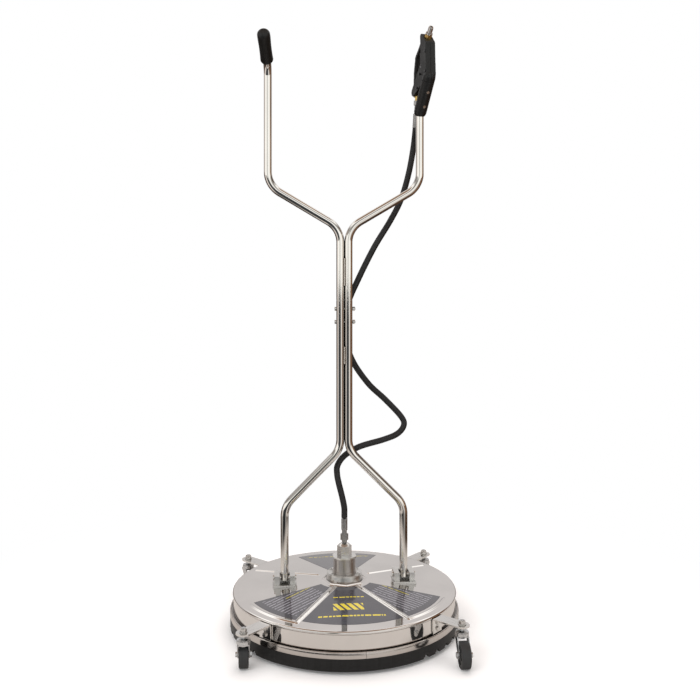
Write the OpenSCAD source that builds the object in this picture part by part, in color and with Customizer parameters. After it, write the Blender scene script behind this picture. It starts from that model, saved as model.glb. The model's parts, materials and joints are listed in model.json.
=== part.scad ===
// Surface cleaner: a round stainless deck on four swivelling casters, with a spinning spray arm under it,
// a folding tube handle with a grip on the left and a spray gun on the right, and a high-pressure hose.
// Ground is z = 0, the spray arm turns about the Z axis, and the operator stands on the -Y side.

/* [Deck] */
// Outer radius of the deck at its rolled rim
deck_r = 305; // [300:1:310]
// Height of the rim's top above the ground
rim_z = 103; // [102:0.5:105]
// Rise of the domed top from the rim to the hub seat
dome_rise = 20; // [18:0.5:21]
// Sheet thickness of the deck
sheet_t = 1.5; // [1.2:0.1:1.6]
// Width of the pressed ribs
rib_w = 14; // [12:0.5:15]
// Height of the pressed ribs above the sheet
rib_h = 2.5; // [2.2:0.1:2.8]
// Height of the skirt's lower edge above the ground
skirt_z = 9; // [7:0.5:11]

/* [Casters] */
// Radius of the circle through the four caster stems
caster_circle_r = 380; // [380:1:390]
// Diameter of a caster wheel
wheel_d = 65; // [62:0.5:65]
// Width of a caster wheel
wheel_w = 24; // [22:0.5:24]
// Horizontal distance from a caster's stem to its wheel's axle
trail = 26; // [24:0.5:27]

/* [Handle] */
// Outer diameter of the handle tubes
tube_d = 22.2; // [21.3:0.1:22.3]
// Wall thickness of the handle tubes
tube_wall = 2; // [1.8:0.1:2.2]
// Sideways distance from the middle to each leg
leg_x = 164; // [160:1:168]
// Sideways distance from the middle to each tube where they run side by side
pair_x = 11.3; // [11.2:0.1:12.5]
// Sideways distance from the middle to each handlebar tube
bar_x = 210; // [206:1:214]
// Centreline radius of the tube bends
bend_r = 67; // [60:1:70]
// Height of the joint between the lower and upper tubes
joint_z = 890; // [880:1:900]
// Height where the left tube bends towards the operator
left_bend_z = 1498; // [1480:1:1510]
// Length of the left grip
grip_len = 120; // [110:1:125]

/* [Gun] */
// Height where the right tube bends into the gun
gun_z = 1398; // [1390:1:1405]
// Outward turn of the gun, seen from above, in degrees
gun_toe = 14; // [12:0.5:16]

/* [Hose] */
// Outer diameter of the hose
hose_d = 16.8; // [16:0.1:17.2]

/* [Hidden] */
$fn = 64;
gap = 0.05;
lap = 0.3;
hair = 0.2;

// Deck
edge_r = deck_r - 3.5;
wall_r = deck_r - 2;
roll_r = 5;
seat_r = 62;
seat_z = rim_z + dome_rise;
pad_h = 2;
flange_z = seat_z + pad_h;
hub_hole_r = 26;
wall_bottom = 42;
band_r = deck_r + 7;
band_bottom = 40;
band_top = 53.5;
band_t = 1.2;
seam_angle = -85.2;
seam_w = 0.6;
rib_angles_near = [240, 300];
rib_angles_side = [150, 30];
rib_end_r = 280;
bead_w = 12;
bead_ends = [205, 335];
pad_r = 59;
sticker_out_r = 268;
side_sticker_in_r = 74;
far_sticker_in_r = 66;
side_sticker_ends = [202, 338];
far_sticker_ends = [64, 116];

// Hub
flange_r = 48.5;
flange_t = 18;
housing_r = 30.5;
housing_top = flange_z + flange_t + 41;
bearing_r = 20;
shaft_r = 10;
hub_bolt_pcd = 80;
hub_bolts_n = 6;
arm_z = 78;
arm_len = 250;
arm_tube_r = 7;
arm_bore_r = 5;
manifold_r = 24;
manifold_h = 24;
nozzle_x = arm_len + 2;
bearing_h = 14;

// Casters
arm_w = 38;
arm_t = 4;
arm_top = 97;
arm_hole_r = 5.2;
stem_r = 5;
axle_r = 4;
axle_z = wheel_d / 2;
fork_in = wheel_w / 2 + 0.75;
fork_t = 2.5;
fork_top = 71;
arm_bolt_z = [68, 83];
arm_bolt_r = 3;
CORNERS = [["near_left", 225, 90], ["near_right", 315, -90], ["far_left", 135, -60], ["far_right", 45, -120]];

// Handle
tube_r = tube_d / 2;
pivot_z = 132;
tube_bottom = pivot_z - 6.5;
stop_lip = 2.8;
bracket_w = 62;
bracket_d = 58;
bracket_top = 141.6;
slot_w = 27.5;
slot_floor = 118.8;
pin_r = 5;
lower_turn = 45;
upper_turn = 59.5;
leg_vertex = 326;
split_vertex = 1087;
joint_bolt_z = [830, 866];
joint_bolt_r = 3;
sleeve_len = 200;
weld_z = [[715, 762], [930, 1005]];
weld_y = 7.6;
sleeve_r = tube_r - tube_wall - gap;
left_turn = 66;
left_bend_r = 45;
left_toe = -5;
grip_r = 17.5;
grip_cap_t = 5.4;
grip_edge_r = 6;

// Gun, in its own plane: s runs towards the operator and h runs up from gun_z
gun_turn = 35;
gun_bend_r = 45;
gun_tube_end = 55;
gun_half_t = 14.5;
guard_half_t = 7;
clamp_r = 17.5;
clamp_lean = [sin(gun_turn), cos(gun_turn)];
clamp_a = [4, 14];
clamp_len = 101;
cover_len = 92;
pivot_s = 10;
pivot_h = 103.2;
plunger_h = pivot_h + 16;
plunger_r = 2.5;
riser_s = 52.6;
riser_r = 8;
outlet_top = [-13, 84];
outlet_end = [-17, 57];
inlet_p = [52, 203];
inlet_turn = 42;
inlet_flats = 19;
plug_r = 5;
plug_bore_r = 3;
plug_nose_r = 7;
safety_p = [34, 110];
clamp_screw_t = [22, 64];
shell_screw_p = [[68, 112], [66, 166], [12, 77]];
coil_r = 4.3;
coil_s = [31.5, 39.5];
coil_steps = 48;
outlet_dir = [-0.15, -0.99];
ferrule_start = [outlet_end.x - 1.6, outlet_end.y - 9.5];
ferrule_end = ferrule_start + 74 * outlet_dir;

// Hose
hose_r = hose_d / 2;
ferrule_low_z = flange_z + flange_t + 115;
ferrule_top_z = ferrule_low_z + 31;

// ---- shared helpers ----

function deck_top(r) = seat_z - (dome_rise + 0.2) * (r - seat_r) / (edge_r - seat_r);
function bead_r(w, h) = (w * w / 4 + h * h) / (2 * h);
function polar(r, a) = [r * cos(a), r * sin(a)];
function in_plane(s, h) = [0, -s, h];

module at_polar(r, a, z = 0) {
    translate([r * cos(a), r * sin(a), z]) rotate([0, 0, a]) children();
}

// A cylinder between two points
module rod(a, b, r) {
    d = b - a;
    l = norm(d);
    translate(a) rotate([0, acos(d.z / l), atan2(d.y, d.x)]) cylinder(r = r, h = l);
}

// Hexagonal prism standing on z = 0, given across its flats
module hex(flats, h) {
    cylinder(r = flats / 2 / cos(30), h = h, $fn = 6);
}

module ring(r_out, r_in, h) {
    difference() {
        cylinder(r = r_out, h = h);
        translate([0, 0, -1]) cylinder(r = r_in, h = h + 2);
    }
}

// ---- deck ----

module deck_profile() {
    // Domed top, from the hub hole to the rim
    polygon([
        [hub_hole_r, seat_z - sheet_t], [seat_r, seat_z - sheet_t], [edge_r, deck_top(edge_r) - sheet_t],
        [edge_r, deck_top(edge_r)], [seat_r, seat_z], [hub_hole_r, seat_z]
    ]);
    // Rolled rim
    intersection() {
        translate([deck_r - roll_r, rim_z - roll_r]) difference() {
            circle(roll_r);
            circle(roll_r - sheet_t);
        }
        translate([edge_r, rim_z - 2 * roll_r]) square([roll_r, 2 * roll_r]);
    }
    // Side wall
    translate([wall_r - sheet_t, wall_bottom]) square([sheet_t, rim_z - 7.5 - wall_bottom]);
}

// A bead's round-ended core, lying under the sheet along a radius
module radial_core(angle, r1, r2, r) {
    sink = bead_r(rib_w, rib_h) - rib_h;
    slope = atan2(deck_top(r1) - deck_top(r2), r2 - r1);
    rotate([0, 0, angle]) translate([r1, 0, deck_top(r1) - sink]) rotate([0, 90 + slope, 0])
        rotate_extrude() intersection() {
            union() {
                circle(r);
                square([r, (r2 - r1) / cos(slope)]);
                translate([0, (r2 - r1) / cos(slope)]) circle(r);
            }
            translate([0, -r]) square([r + 1, (r2 - r1) / cos(slope) + 2 * r]);
        }
}

// A bead's core along the edge of the dome
module arc_core(a1, a2, r) {
    sink = bead_r(bead_w, rib_h) - rib_h;
    rotate([0, 0, a1]) rotate_extrude(angle = a2 - a1)
        translate([rib_end_r, deck_top(rib_end_r) - sink]) circle(r);
}

module rib_cores(thin) {
    for (a = rib_angles_near) radial_core(a, 66, rib_end_r, bead_r(rib_w, rib_h) - thin);
    for (a = rib_angles_side) radial_core(a, 84, rib_end_r, bead_r(rib_w, rib_h) - thin);
    arc_core(bead_ends[0], rib_angles_near[0] - 1, bead_r(bead_w, rib_h) - thin);
    arc_core(rib_angles_near[1] + 1, bead_ends[1], bead_r(bead_w, rib_h) - thin);
}

module deck_shell() color([0.80, 0.79, 0.77]) difference() {
    union() {
        rotate_extrude() deck_profile();
        intersection() {
            rib_cores(0);
            rotate_extrude() polygon([
                [seat_r, seat_z - sheet_t], [edge_r, deck_top(edge_r) - sheet_t],
                [edge_r, deck_top(edge_r) + 6], [seat_r, seat_z + 6]
            ]);
        }
        translate([0, 0, seat_z - sheet_t / 2]) rotate([0, 0, 22.5])
            cylinder(r = pad_r, h = pad_h + sheet_t / 2, $fn = 8);
    }
    rib_cores(sheet_t);
    translate([0, 0, seat_z - 5]) cylinder(r = hub_hole_r, h = 10);
    hub_bolt_holes();
    for (c = CORNERS) for (z = arm_bolt_z)
        at_polar(wall_r - 6, c[1], z) rotate([0, 90, 0]) cylinder(r = arm_bolt_r + 0.2, h = 12);
    bracket_screw_places() cylinder(r = 3.2, h = 30);
}

module hub_bolt_holes() {
    for (i = [0 : hub_bolts_n - 1])
        at_polar(hub_bolt_pcd / 2, 30 + i * 360 / hub_bolts_n, seat_z - 20) cylinder(r = 3.2, h = 60);
}

module rim_band() color([0.84, 0.83, 0.80]) difference() {
    rotate_extrude() {
        translate([band_r - band_t, band_bottom]) square([band_t, band_top - band_bottom]);
        translate([wall_r + gap, band_top - band_t]) square([band_r - wall_r - gap, band_t]);
        translate([wall_r + gap, wall_bottom + 2]) square([band_t, band_top - wall_bottom - 2]);
        translate([band_r - 2.4, band_top + 0.6]) circle(2.2);
    }
    // Seam where the band's ends meet
    at_polar(band_r - 6, seam_angle, band_bottom - 1) translate([0, -seam_w / 2, 0])
        cube([12, seam_w, band_top - band_bottom + 6]);
}

module skirt_brush() color([0.10, 0.10, 0.11]) difference() {
    rotate_extrude() {
        translate([wall_r + band_t + 0.4, band_bottom - 1]) square([band_r - wall_r - 2 * band_t - 0.8, 12]);
        translate([wall_r + 0.6, skirt_z]) square([band_r - wall_r - 1, band_bottom - gap - skirt_z]);
    }
    // Steps in the lower edge, everywhere except along the near side
    for (i = [0 : 34]) at_polar(wall_r - 3, -54 + i * 8, skirt_z - 1) {
        translate([0, -9, 0]) cube([20, 18, 5]);
        translate([0, -4, 0]) cube([20, 8, 10]);
    }
}

// A thin skin that follows the dome between two radii
module dome_skin(r1, r2, lift, t) {
    rotate_extrude() polygon([
        [r1, deck_top(r1) + lift], [r2, deck_top(r2) + lift],
        [r2, deck_top(r2) + lift + t], [r1, deck_top(r1) + lift + t]
    ]);
}

// A wedge with its sides set back from the two rib lines that bound it
module sticker(a1, a2, inset1, inset2, r_in, r_out) {
    intersection() {
        dome_skin(r_in, r_out, gap, 0.25);
        rotate([0, 0, a1]) translate([0, inset1, 0]) cube([400, 400, 200]);
        rotate([0, 0, a2]) translate([0, -400 - inset2, 0]) cube([400, 400, 200]);
    }
}

module deck_stickers() color([0.20, 0.20, 0.23]) {
    beside = rib_w / 2 + 2;
    sticker(rib_angles_near[0], rib_angles_near[1], beside, beside, seat_r + 1, sticker_out_r);
    sticker(side_sticker_ends[0], rib_angles_near[0], 6, beside, side_sticker_in_r, sticker_out_r);
    sticker(rib_angles_near[1], side_sticker_ends[1], beside, 6, side_sticker_in_r, sticker_out_r);
    sticker(far_sticker_ends[0], far_sticker_ends[1], 0, 0, far_sticker_in_r, sticker_out_r);
}

// ---- hub ----

module hub_flange() color([0.72, 0.73, 0.74]) translate([0, 0, flange_z]) difference() {
    union() {
        cylinder(r = flange_r, h = flange_t - 2);
        cylinder(r = flange_r - 2, h = flange_t);
    }
    translate([0, 0, -1]) cylinder(r = 24 + gap, h = flange_t + 2);
    for (i = [0 : hub_bolts_n - 1])
        at_polar(hub_bolt_pcd / 2, 30 + i * 360 / hub_bolts_n, 0) {
            translate([0, 0, -1]) cylinder(r = 3.2, h = flange_t + 2);
            translate([0, 0, flange_t - 4]) cylinder(r = 5.4, h = 5);
        }
}

module hub_bolts() color([0.75, 0.75, 0.76]) for (i = [0 : hub_bolts_n - 1])
    at_polar(hub_bolt_pcd / 2, 30 + i * 360 / hub_bolts_n, 0) {
        difference() {
            translate([0, 0, flange_z + flange_t - 3.9]) cylinder(r = 5.2, h = 5.5);
            translate([0, 0, flange_z + flange_t - 1]) hex(5, 5);
        }
        translate([0, 0, seat_z - 9]) cylinder(r = 3, h = flange_t + 8);
        difference() {
            translate([0, 0, seat_z - sheet_t - 5.6]) hex(10, 5.5);
            translate([0, 0, seat_z - sheet_t - 6]) cylinder(r = 3 + gap, h = 7);
        }
    }

module swivel_housing() color([0.78, 0.79, 0.80]) difference() {
    union() {
        translate([0, 0, seat_z - 4]) cylinder(r = 24, h = 40);
        translate([0, 0, flange_z + flange_t + gap]) cylinder(r = housing_r + 2.5, h = 5);
        translate([0, 0, flange_z + flange_t + gap]) cylinder(r = housing_r, h = 41 - gap);
    }
    translate([0, 0, seat_z - 5]) cylinder(r = bearing_r + gap, h = 55);
    translate([0, 0, seat_z + 45]) cylinder(r = 14, h = 12);
    translate([0, 0, seat_z + 50]) cylinder(r = 8, h = 20);
}

module swivel_cap() color([0.80, 0.80, 0.80]) translate([0, 0, housing_top + gap]) difference() {
    rotate([0, 0, 22.5]) cylinder(r = 31.5 / cos(22.5), h = 4, $fn = 8);
    translate([0, 0, -1]) cylinder(r = 8, h = 6);
}

module inlet_coupling() color([0.80, 0.81, 0.82]) translate([0, 0, housing_top + 4 + 2 * gap]) difference() {
    intersection() {
        hex(34.7, 36);
        union() {
            cylinder(r = 21, h = 27);
            translate([0, 0, 12]) sphere(r = 23.6);
        }
    }
    translate([0, 0, -1]) cylinder(r = 5, h = 40);
}

// Swivel nut and crimped ferrule at the hose's lower end
module hose_fitting_lower() color([0.62, 0.62, 0.62]) {
    base = housing_top + 39.9;
    translate([0, 0, base]) difference() {
        union() {
            cylinder(r = 7, h = 8);
            translate([0, 0, 6.4]) hex(19, 17);
            translate([0, 0, 23]) cylinder(r = 6.75, h = ferrule_low_z - gap - base - 23);
        }
        translate([0, 0, -1]) cylinder(r = 3.5, h = 60);
    }
    translate([0, 0, ferrule_low_z]) crimp(31);
}

module bearing_ring(z) {
    translate([0, 0, z]) difference() {
        cylinder(r = bearing_r, h = bearing_h);
        translate([0, 0, -1]) cylinder(r = shaft_r, h = bearing_h + 2);
        for (k = [-1, bearing_h - 1]) translate([0, 0, k]) ring(16.5, 13.5, 2);
    }
}

module upper_bearing() color([0.70, 0.71, 0.73]) bearing_ring(seat_z + 30.8);
module lower_bearing() color([0.70, 0.71, 0.73]) bearing_ring(seat_z - 1);

module pressure_seal() color([0.15, 0.15, 0.16]) translate([0, 0, seat_z + 45.2])
    ring(14 - gap, shaft_r + gap, 6);

// ---- rotor ----

module rotor_shaft() color([0.76, 0.77, 0.78]) difference() {
    union() {
        translate([0, 0, arm_z + manifold_h / 2 + 0.1])
            cylinder(r = shaft_r - gap, h = seat_z + 54 - arm_z - manifold_h / 2 - 0.1);
        translate([0, 0, seat_z - 8]) cylinder(r = 13, h = 6.5);
        translate([0, 0, arm_z - 8]) cylinder(r = 7, h = 21);
    }
    translate([0, 0, arm_z - 2]) cylinder(r = 3.5, h = 150);
}

module spray_manifold() color([0.80, 0.66, 0.36]) difference() {
    translate([0, 0, arm_z - manifold_h / 2]) cylinder(r = manifold_r, h = manifold_h);
    translate([0, 0, arm_z - 9]) cylinder(r = 7 + gap, h = 30);
    for (a = [0, 180]) rotate([0, 0, a]) translate([12, 0, arm_z]) rotate([0, 90, 0])
        cylinder(r = arm_tube_r + gap, h = 20);
}

module spray_arms() color([0.78, 0.78, 0.77]) for (a = [0, 180]) rotate([0, 0, a])
    translate([13, 0, arm_z]) rotate([0, 90, 0]) ring(arm_tube_r, arm_bore_r, arm_len - 13);

// Elbow at an arm's end that turns the water down
module nozzle_bodies() color([0.80, 0.66, 0.36]) for (a = [0, 180]) rotate([0, 0, a]) difference() {
    union() {
        translate([arm_len - 16, 0, arm_z]) rotate([0, 90, 0]) cylinder(r = 10, h = 26);
        translate([nozzle_x, 0, arm_z - 22]) cylinder(r = 9, h = 24);
    }
    translate([arm_len - 18, 0, arm_z]) rotate([0, 90, 0]) cylinder(r = arm_tube_r + gap, h = 18.1);
    translate([nozzle_x, 0, arm_z - 30]) cylinder(r = arm_bore_r, h = 32);
}

module spray_nozzles() color([0.70, 0.70, 0.70]) for (a = [0, 180]) rotate([0, 0, a])
    translate([nozzle_x, 0, arm_z - 22 - gap]) difference() {
        union() {
            cylinder(r = 5 - gap, h = 12);
            translate([0, 0, -6]) hex(14, 6);
            translate([0, 0, -10]) cylinder(r = 5, h = 4.1);
        }
        translate([0, 0, -11]) cylinder(r = 0.8, h = 30);
    }

// ---- casters ----

module at_corner(c) {
    translate(concat(polar(caster_circle_r, c[1]), 0)) children();
}

module caster_arms() color([0.82, 0.81, 0.79]) for (c = CORNERS) rotate([0, 0, c[1]]) difference() {
    union() {
        translate([wall_r + gap, -arm_w / 2, 57]) cube([arm_t, arm_w, 36.5]);
        translate([deck_r + 0.2, -arm_w / 2, arm_top - arm_t])
            cube([caster_circle_r - deck_r, arm_w, arm_t]);
        translate([caster_circle_r, 0, arm_top - arm_t]) cylinder(r = arm_w / 2, h = arm_t);
    }
    translate([caster_circle_r, 0, arm_top - 10]) cylinder(r = arm_hole_r, h = 20);
    for (z = arm_bolt_z) translate([wall_r - 2, 0, z]) rotate([0, 90, 0]) cylinder(r = arm_bolt_r + 0.2, h = 12);
}

module arm_bolts() color([0.75, 0.75, 0.74]) for (c = CORNERS) for (z = arm_bolt_z)
    at_polar(0, c[1], z) {
        translate([wall_r - 9, 0, 0]) rotate([0, 90, 0]) cylinder(r = arm_bolt_r, h = 14);
        translate([wall_r + arm_t + 2 * gap, 0, 0]) rotate([0, 90, 0]) hex(10, 4);
        difference() {
            translate([wall_r - sheet_t - 5.1, 0, 0]) rotate([0, 90, 0]) hex(10, 5);
            translate([wall_r - sheet_t - 6, 0, 0]) rotate([0, 90, 0]) cylinder(r = arm_bolt_r + gap, h = 7);
        }
    }

// Stem riveted through the fork, with its upper race and jam nut
module caster_stems() color([0.78, 0.78, 0.78]) for (c = CORNERS) at_corner(c) {
    translate([0, 0, fork_top - 6.5]) cylinder(r = stem_r - gap, h = 44);
    translate([0, 0, fork_top - 7]) cylinder(r = 7.5, h = 3.4);
    translate([0, 0, fork_top + 8.2]) {
        cylinder(r = 16, h = 1.5);
        translate([0, 0, 1.4]) cylinder(r1 = 14, r2 = 9, h = 2.4);
    }
    translate([0, 0, arm_top - arm_t - 6.1]) hex(15, 6);
}

module stem_nuts() color([0.80, 0.80, 0.80]) for (c = CORNERS) at_corner(c)
    translate([0, 0, arm_top + gap]) difference() {
        union() {
            cylinder(r = 10.5, h = 1.6);
            translate([0, 0, 1.5]) hex(15, 7.5);
            translate([0, 0, 8.9]) cylinder(r = 6.6, h = 2);
        }
        translate([0, 0, -1]) cylinder(r = stem_r, h = 14);
    }

// Fork and wheel are drawn trailing along +X and turned to their rest direction
module caster_frame(c) {
    at_corner(c) rotate([0, 0, c[2]]) children();
}

module fork_cheek_outline() {
    hull() {
        translate([-13, fork_top - 3]) square([26, 3]);
        translate([trail, axle_z]) circle(r = 9, $fn = 48);
    }
}

module fork(c) color([0.74, 0.75, 0.76]) caster_frame(c) difference() {
    union() {
        for (k = [-1, 1]) translate([0, k * (fork_in + fork_t / 2) + fork_t / 2, 0])
            rotate([90, 0, 0]) linear_extrude(fork_t) fork_cheek_outline();
        translate([-13, -fork_in - fork_t, fork_top - 3]) cube([26, 2 * (fork_in + fork_t), 3]);
        translate([0, 0, fork_top - 3]) cylinder(r = 15, h = 3);
        translate([0, 0, fork_top - 0.1]) cylinder(r = 17, h = 8);
    }
    translate([0, 0, fork_top - 10]) cylinder(r = stem_r, h = 30);
    translate([0, 0, fork_top - 12]) cylinder(r = 8.2, h = 9);
    translate([trail, 25, axle_z]) rotate([90, 0, 0]) cylinder(r = axle_r + gap, h = 50);
}

module axle(c) color([0.78, 0.78, 0.77]) caster_frame(c) translate([trail, 0, axle_z]) rotate([90, 0, 0]) {
    translate([0, 0, -fork_in - fork_t - 1]) cylinder(r = axle_r, h = 2 * (fork_in + fork_t) + 6);
    translate([0, 0, -fork_in - fork_t - 5.1]) cylinder(r = 6.5, h = 5);
    difference() {
        translate([0, 0, fork_in + fork_t + 0.1]) hex(13, 5);
        translate([0, 0, fork_in + fork_t]) cylinder(r = axle_r + gap, h = 6);
    }
}

module wheel(c) color([0.13, 0.13, 0.14]) caster_frame(c) translate([trail, 0, axle_z]) rotate([90, 0, 0])
    rotate_extrude() difference() {
        union() {
            translate([axle_r + gap, -wheel_w / 2]) square([9, wheel_w]);
            translate([axle_r + 8, -wheel_w / 2 + 3]) square([wheel_d / 2 - axle_r - 11, wheel_w - 6]);
            translate([wheel_d / 2 - 10, -wheel_w / 2 + 3]) square([10, wheel_w - 6]);
            translate([wheel_d / 2 - 10, -wheel_w / 2]) square([7, wheel_w]);
            for (k = [-1, 1]) translate([wheel_d / 2 - 3, k * (wheel_w / 2 - 3)]) circle(3);
        }
        translate([-1, -20]) square([1 + axle_r + gap, 40]);
    }

module near_left_fork() { fork(CORNERS[0]); }
module near_right_fork() { fork(CORNERS[1]); }
module far_left_fork() { fork(CORNERS[2]); }
module far_right_fork() { fork(CORNERS[3]); }
module near_left_axle() { axle(CORNERS[0]); }
module near_right_axle() { axle(CORNERS[1]); }
module far_left_axle() { axle(CORNERS[2]); }
module far_right_axle() { axle(CORNERS[3]); }
module near_left_wheel() { wheel(CORNERS[0]); }
module near_right_wheel() { wheel(CORNERS[1]); }
module far_left_wheel() { wheel(CORNERS[2]); }
module far_right_wheel() { wheel(CORNERS[3]); }

// ---- handle brackets and pins ----

module bracket_screw_places() {
    for (k = [-1, 1]) for (dx = [-22, 22]) for (dy = [-14, 14])
        translate([k * leg_x + dx, dy, deck_top(norm([k * leg_x + dx, dy])) - 14]) children();
}

module bracket(side) color([0.76, 0.77, 0.77]) difference() {
    translate([side * leg_x, 0, 0]) difference() {
        union() {
            translate([-bracket_w / 2, -bracket_d / 2, 105]) cube([bracket_w, bracket_d, 14]);
            translate([-bracket_w / 2 + 3, -bracket_d / 2 + 7, 118])
                cube([bracket_w - 6, bracket_d - 7, bracket_top - 118]);
        }
        // Slot, open to the near side and the top
        translate([-slot_w / 2, -bracket_d, slot_floor]) cube([slot_w, bracket_d + tube_r + 0.3, 60]);
        // Room for the tube's foot as it swings, under the lip that stops the upright tube
        translate([-slot_w / 2, 0, slot_floor]) cube([slot_w, 13.2, bracket_top - stop_lip - slot_floor]);
        translate([-bracket_w, 0, pivot_z]) rotate([0, 90, 0]) cylinder(r = pin_r + gap, h = 2 * bracket_w);
    }
    // Underside follows the dome
    rotate_extrude() polygon([
        [seat_r, 0], [edge_r, 0], [edge_r, deck_top(edge_r) + gap], [seat_r, seat_z + gap]
    ]);
    bracket_screw_places() cylinder(r = 3 + gap, h = 24);
}

module left_bracket() { bracket(-1); }
module right_bracket() { bracket(1); }

module bracket_screws() color([0.72, 0.72, 0.72]) bracket_screw_places() {
    translate([0, 0, 5]) cylinder(r = 3, h = 18);
    translate([0, 0, 7.5]) cylinder(r = 5, h = 4);
}

module pivot_pins() color([0.80, 0.80, 0.80]) for (k = [-1, 1]) translate([k * leg_x, 0, pivot_z])
    rotate([0, 90, 0]) {
        translate([0, 0, -bracket_w / 2 - 1]) cylinder(r = pin_r, h = bracket_w + 2);
        translate([0, 0, -bracket_w / 2 - 0.5]) cylinder(r = 7.5, h = 3);
        translate([0, 0, bracket_w / 2 - 2.5]) cylinder(r = 7, h = 3);
    }

// ---- handle tubes ----

// Solid lengths and bends, drawn along +Z from the origin. A bend is a hair thicker than the straight
// lengths, which reach a little way into it.
module straight(len, r) {
    translate([0, 0, -lap]) cylinder(r = r, h = len + 2 * lap);
}

// A bend that starts along +Z and turns towards +X
module elbow(turn, r, radius) {
    translate([radius, 0, 0]) rotate([90, 0, 180]) rotate_extrude(angle = turn)
        translate([radius, 0]) circle(r + hair);
}

// Carries its children to the end of such a bend
module after_elbow(turn, radius) {
    translate([radius * (1 - cos(turn)), 0, radius * sin(turn)]) rotate([0, turn, 0]) children();
}

function setback(turn) = bend_r * tan(turn / 2);

// Two upright lengths joined by a slanted one: from z0 up to z1, shifted by dx, with the first bend's
// corner at vertex
module offset_path(z0, z1, dx, vertex, turn, r) {
    rise = dx / tan(turn);
    back = setback(turn);
    slant = dx / sin(turn) - 2 * back;
    translate([0, 0, z0 + lap]) straight(vertex - back - z0 - lap, r);
    translate([0, 0, vertex - back]) {
        elbow(turn, r, bend_r);
        after_elbow(turn, bend_r) {
            straight(slant, r);
            translate([0, 0, slant]) mirror([1, 0, 0]) elbow(turn, r, bend_r);
        }
    }
    translate([dx, 0, vertex + rise + back]) straight(z1 - vertex - rise - back - lap, r);
}

module lower_path(r, more = 0) {
    offset_path(tube_bottom - more, joint_z - gap + more, leg_x - pair_x, leg_vertex, lower_turn, r);
}

module upper_path(r, top_z, more = 0) {
    offset_path(joint_z + gap - more, top_z, bar_x - pair_x, split_vertex, upper_turn, r);
}

module joint_bolt_holes() {
    for (z = joint_bolt_z) translate([-60, 0, z]) rotate([0, 90, 0]) cylinder(r = joint_bolt_r + 0.1, h = 120);
}

module lower_tube(side) color([0.80, 0.78, 0.75]) difference() {
    mirror([side > 0 ? 1 : 0, 0, 0]) translate([-leg_x, 0, 0]) difference() {
        lower_path(tube_r);
        lower_path(tube_r - tube_wall, 1);
    }
    translate([side * leg_x - 40, 0, pivot_z]) rotate([0, 90, 0]) cylinder(r = pin_r + gap, h = 80);
    joint_bolt_holes();
}

module lower_tube_left() { lower_tube(-1); }
module lower_tube_right() { lower_tube(1); }

module left_top() {
    translate([-bar_x, 0, left_bend_z]) rotate([0, 0, left_toe - 90]) children();
}

module left_handlebar(r, more = 0) {
    mirror([1, 0, 0]) translate([pair_x, 0, 0]) upper_path(r, left_bend_z + lap, more);
    left_top() {
        elbow(left_turn, r, left_bend_r);
        after_elbow(left_turn, left_bend_r) straight(grip_len - 6 + more, r);
    }
}

module upper_tube_left() color([0.80, 0.78, 0.75]) difference() {
    left_handlebar(tube_r);
    left_handlebar(tube_r - tube_wall, 1);
}

module gun_frame() {
    translate([bar_x, 0, gun_z]) rotate([0, 0, gun_toe]) children();
}

// The right tube with its bent end inside the gun
module right_handlebar(r, more = 0) {
    translate([pair_x, 0, 0]) upper_path(r, gun_z + lap, more);
    gun_frame() rotate([0, 0, -90]) {
        elbow(gun_turn, r, gun_bend_r);
        after_elbow(gun_turn, gun_bend_r) straight(gun_tube_end + more, r);
    }
}

module upper_tube_right() color([0.80, 0.78, 0.75]) difference() {
    right_handlebar(tube_r);
    right_handlebar(tube_r - tube_wall, 1);
    gun_frame() for (t = clamp_screw_t) clamp_screw_place(t) translate([0, 0, 5]) cylinder(r = 2.3, h = 20);
}

module joint_sleeves() color([0.70, 0.70, 0.70]) difference() {
    for (k = [-1, 1]) translate([k * pair_x, 0, joint_z - sleeve_len / 2])
        ring(sleeve_r, sleeve_r - 2, sleeve_len);
    joint_bolt_holes();
}

module joint_bolts() color([0.78, 0.78, 0.78]) for (z = joint_bolt_z) translate([0, 0, z]) rotate([0, 90, 0]) {
    reach = pair_x + tube_r;
    translate([0, 0, -reach - 1]) cylinder(r = joint_bolt_r, h = 2 * reach + 9);
    translate([0, 0, -reach - 4.3]) cylinder(r = 5.5, h = 4);
    difference() {
        translate([0, 0, reach + 0.3]) hex(10, 6);
        translate([0, 0, reach]) cylinder(r = joint_bolt_r + gap, h = 8);
    }
}

// Weld beads that fill the groove between the two middle tubes, near and far side
module tube_welds() color([0.55, 0.52, 0.48]) for (k = [-1, 1]) for (z = weld_z)
    translate([0, k * weld_y, z[0]]) cylinder(r = norm([pair_x, weld_y]) - tube_r - gap, h = z[1] - z[0]);

module left_grip() color([0.09, 0.09, 0.10]) left_top()
    after_elbow(left_turn, left_bend_r)
        difference() {
            rotate_extrude() intersection() {
                union() {
                    translate([0, grip_edge_r]) square([grip_r, grip_len - 2 * grip_edge_r]);
                    square([grip_r - grip_edge_r, grip_len]);
                    translate([grip_r - grip_edge_r, grip_edge_r]) circle(grip_edge_r);
                    translate([grip_r - grip_edge_r, grip_len - grip_edge_r]) circle(grip_edge_r);
                }
                square([grip_r, grip_len]);
            }
            translate([0, 0, -1]) cylinder(r = tube_r + gap, h = grip_len + 1 - grip_cap_t);
        }

// ---- spray gun, drawn in its own frame ----

function clamp_point(t) = clamp_a + t * clamp_lean;

// Turns a drawing of the gun's side view, x = s and y = h, upright into the gun's plane
module side_view(half_t) {
    rotate([90, 0, -90]) translate([0, 0, -half_t]) linear_extrude(2 * half_t) children();
}

module clamp_screw_place(t) {
    p = clamp_point(t);
    translate(in_plane(p.x, p.y)) rotate([90 + gun_turn, 0, 0]) children();
}

module dot2(p, r) { translate(p) circle(r = r, $fn = 32); }

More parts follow.
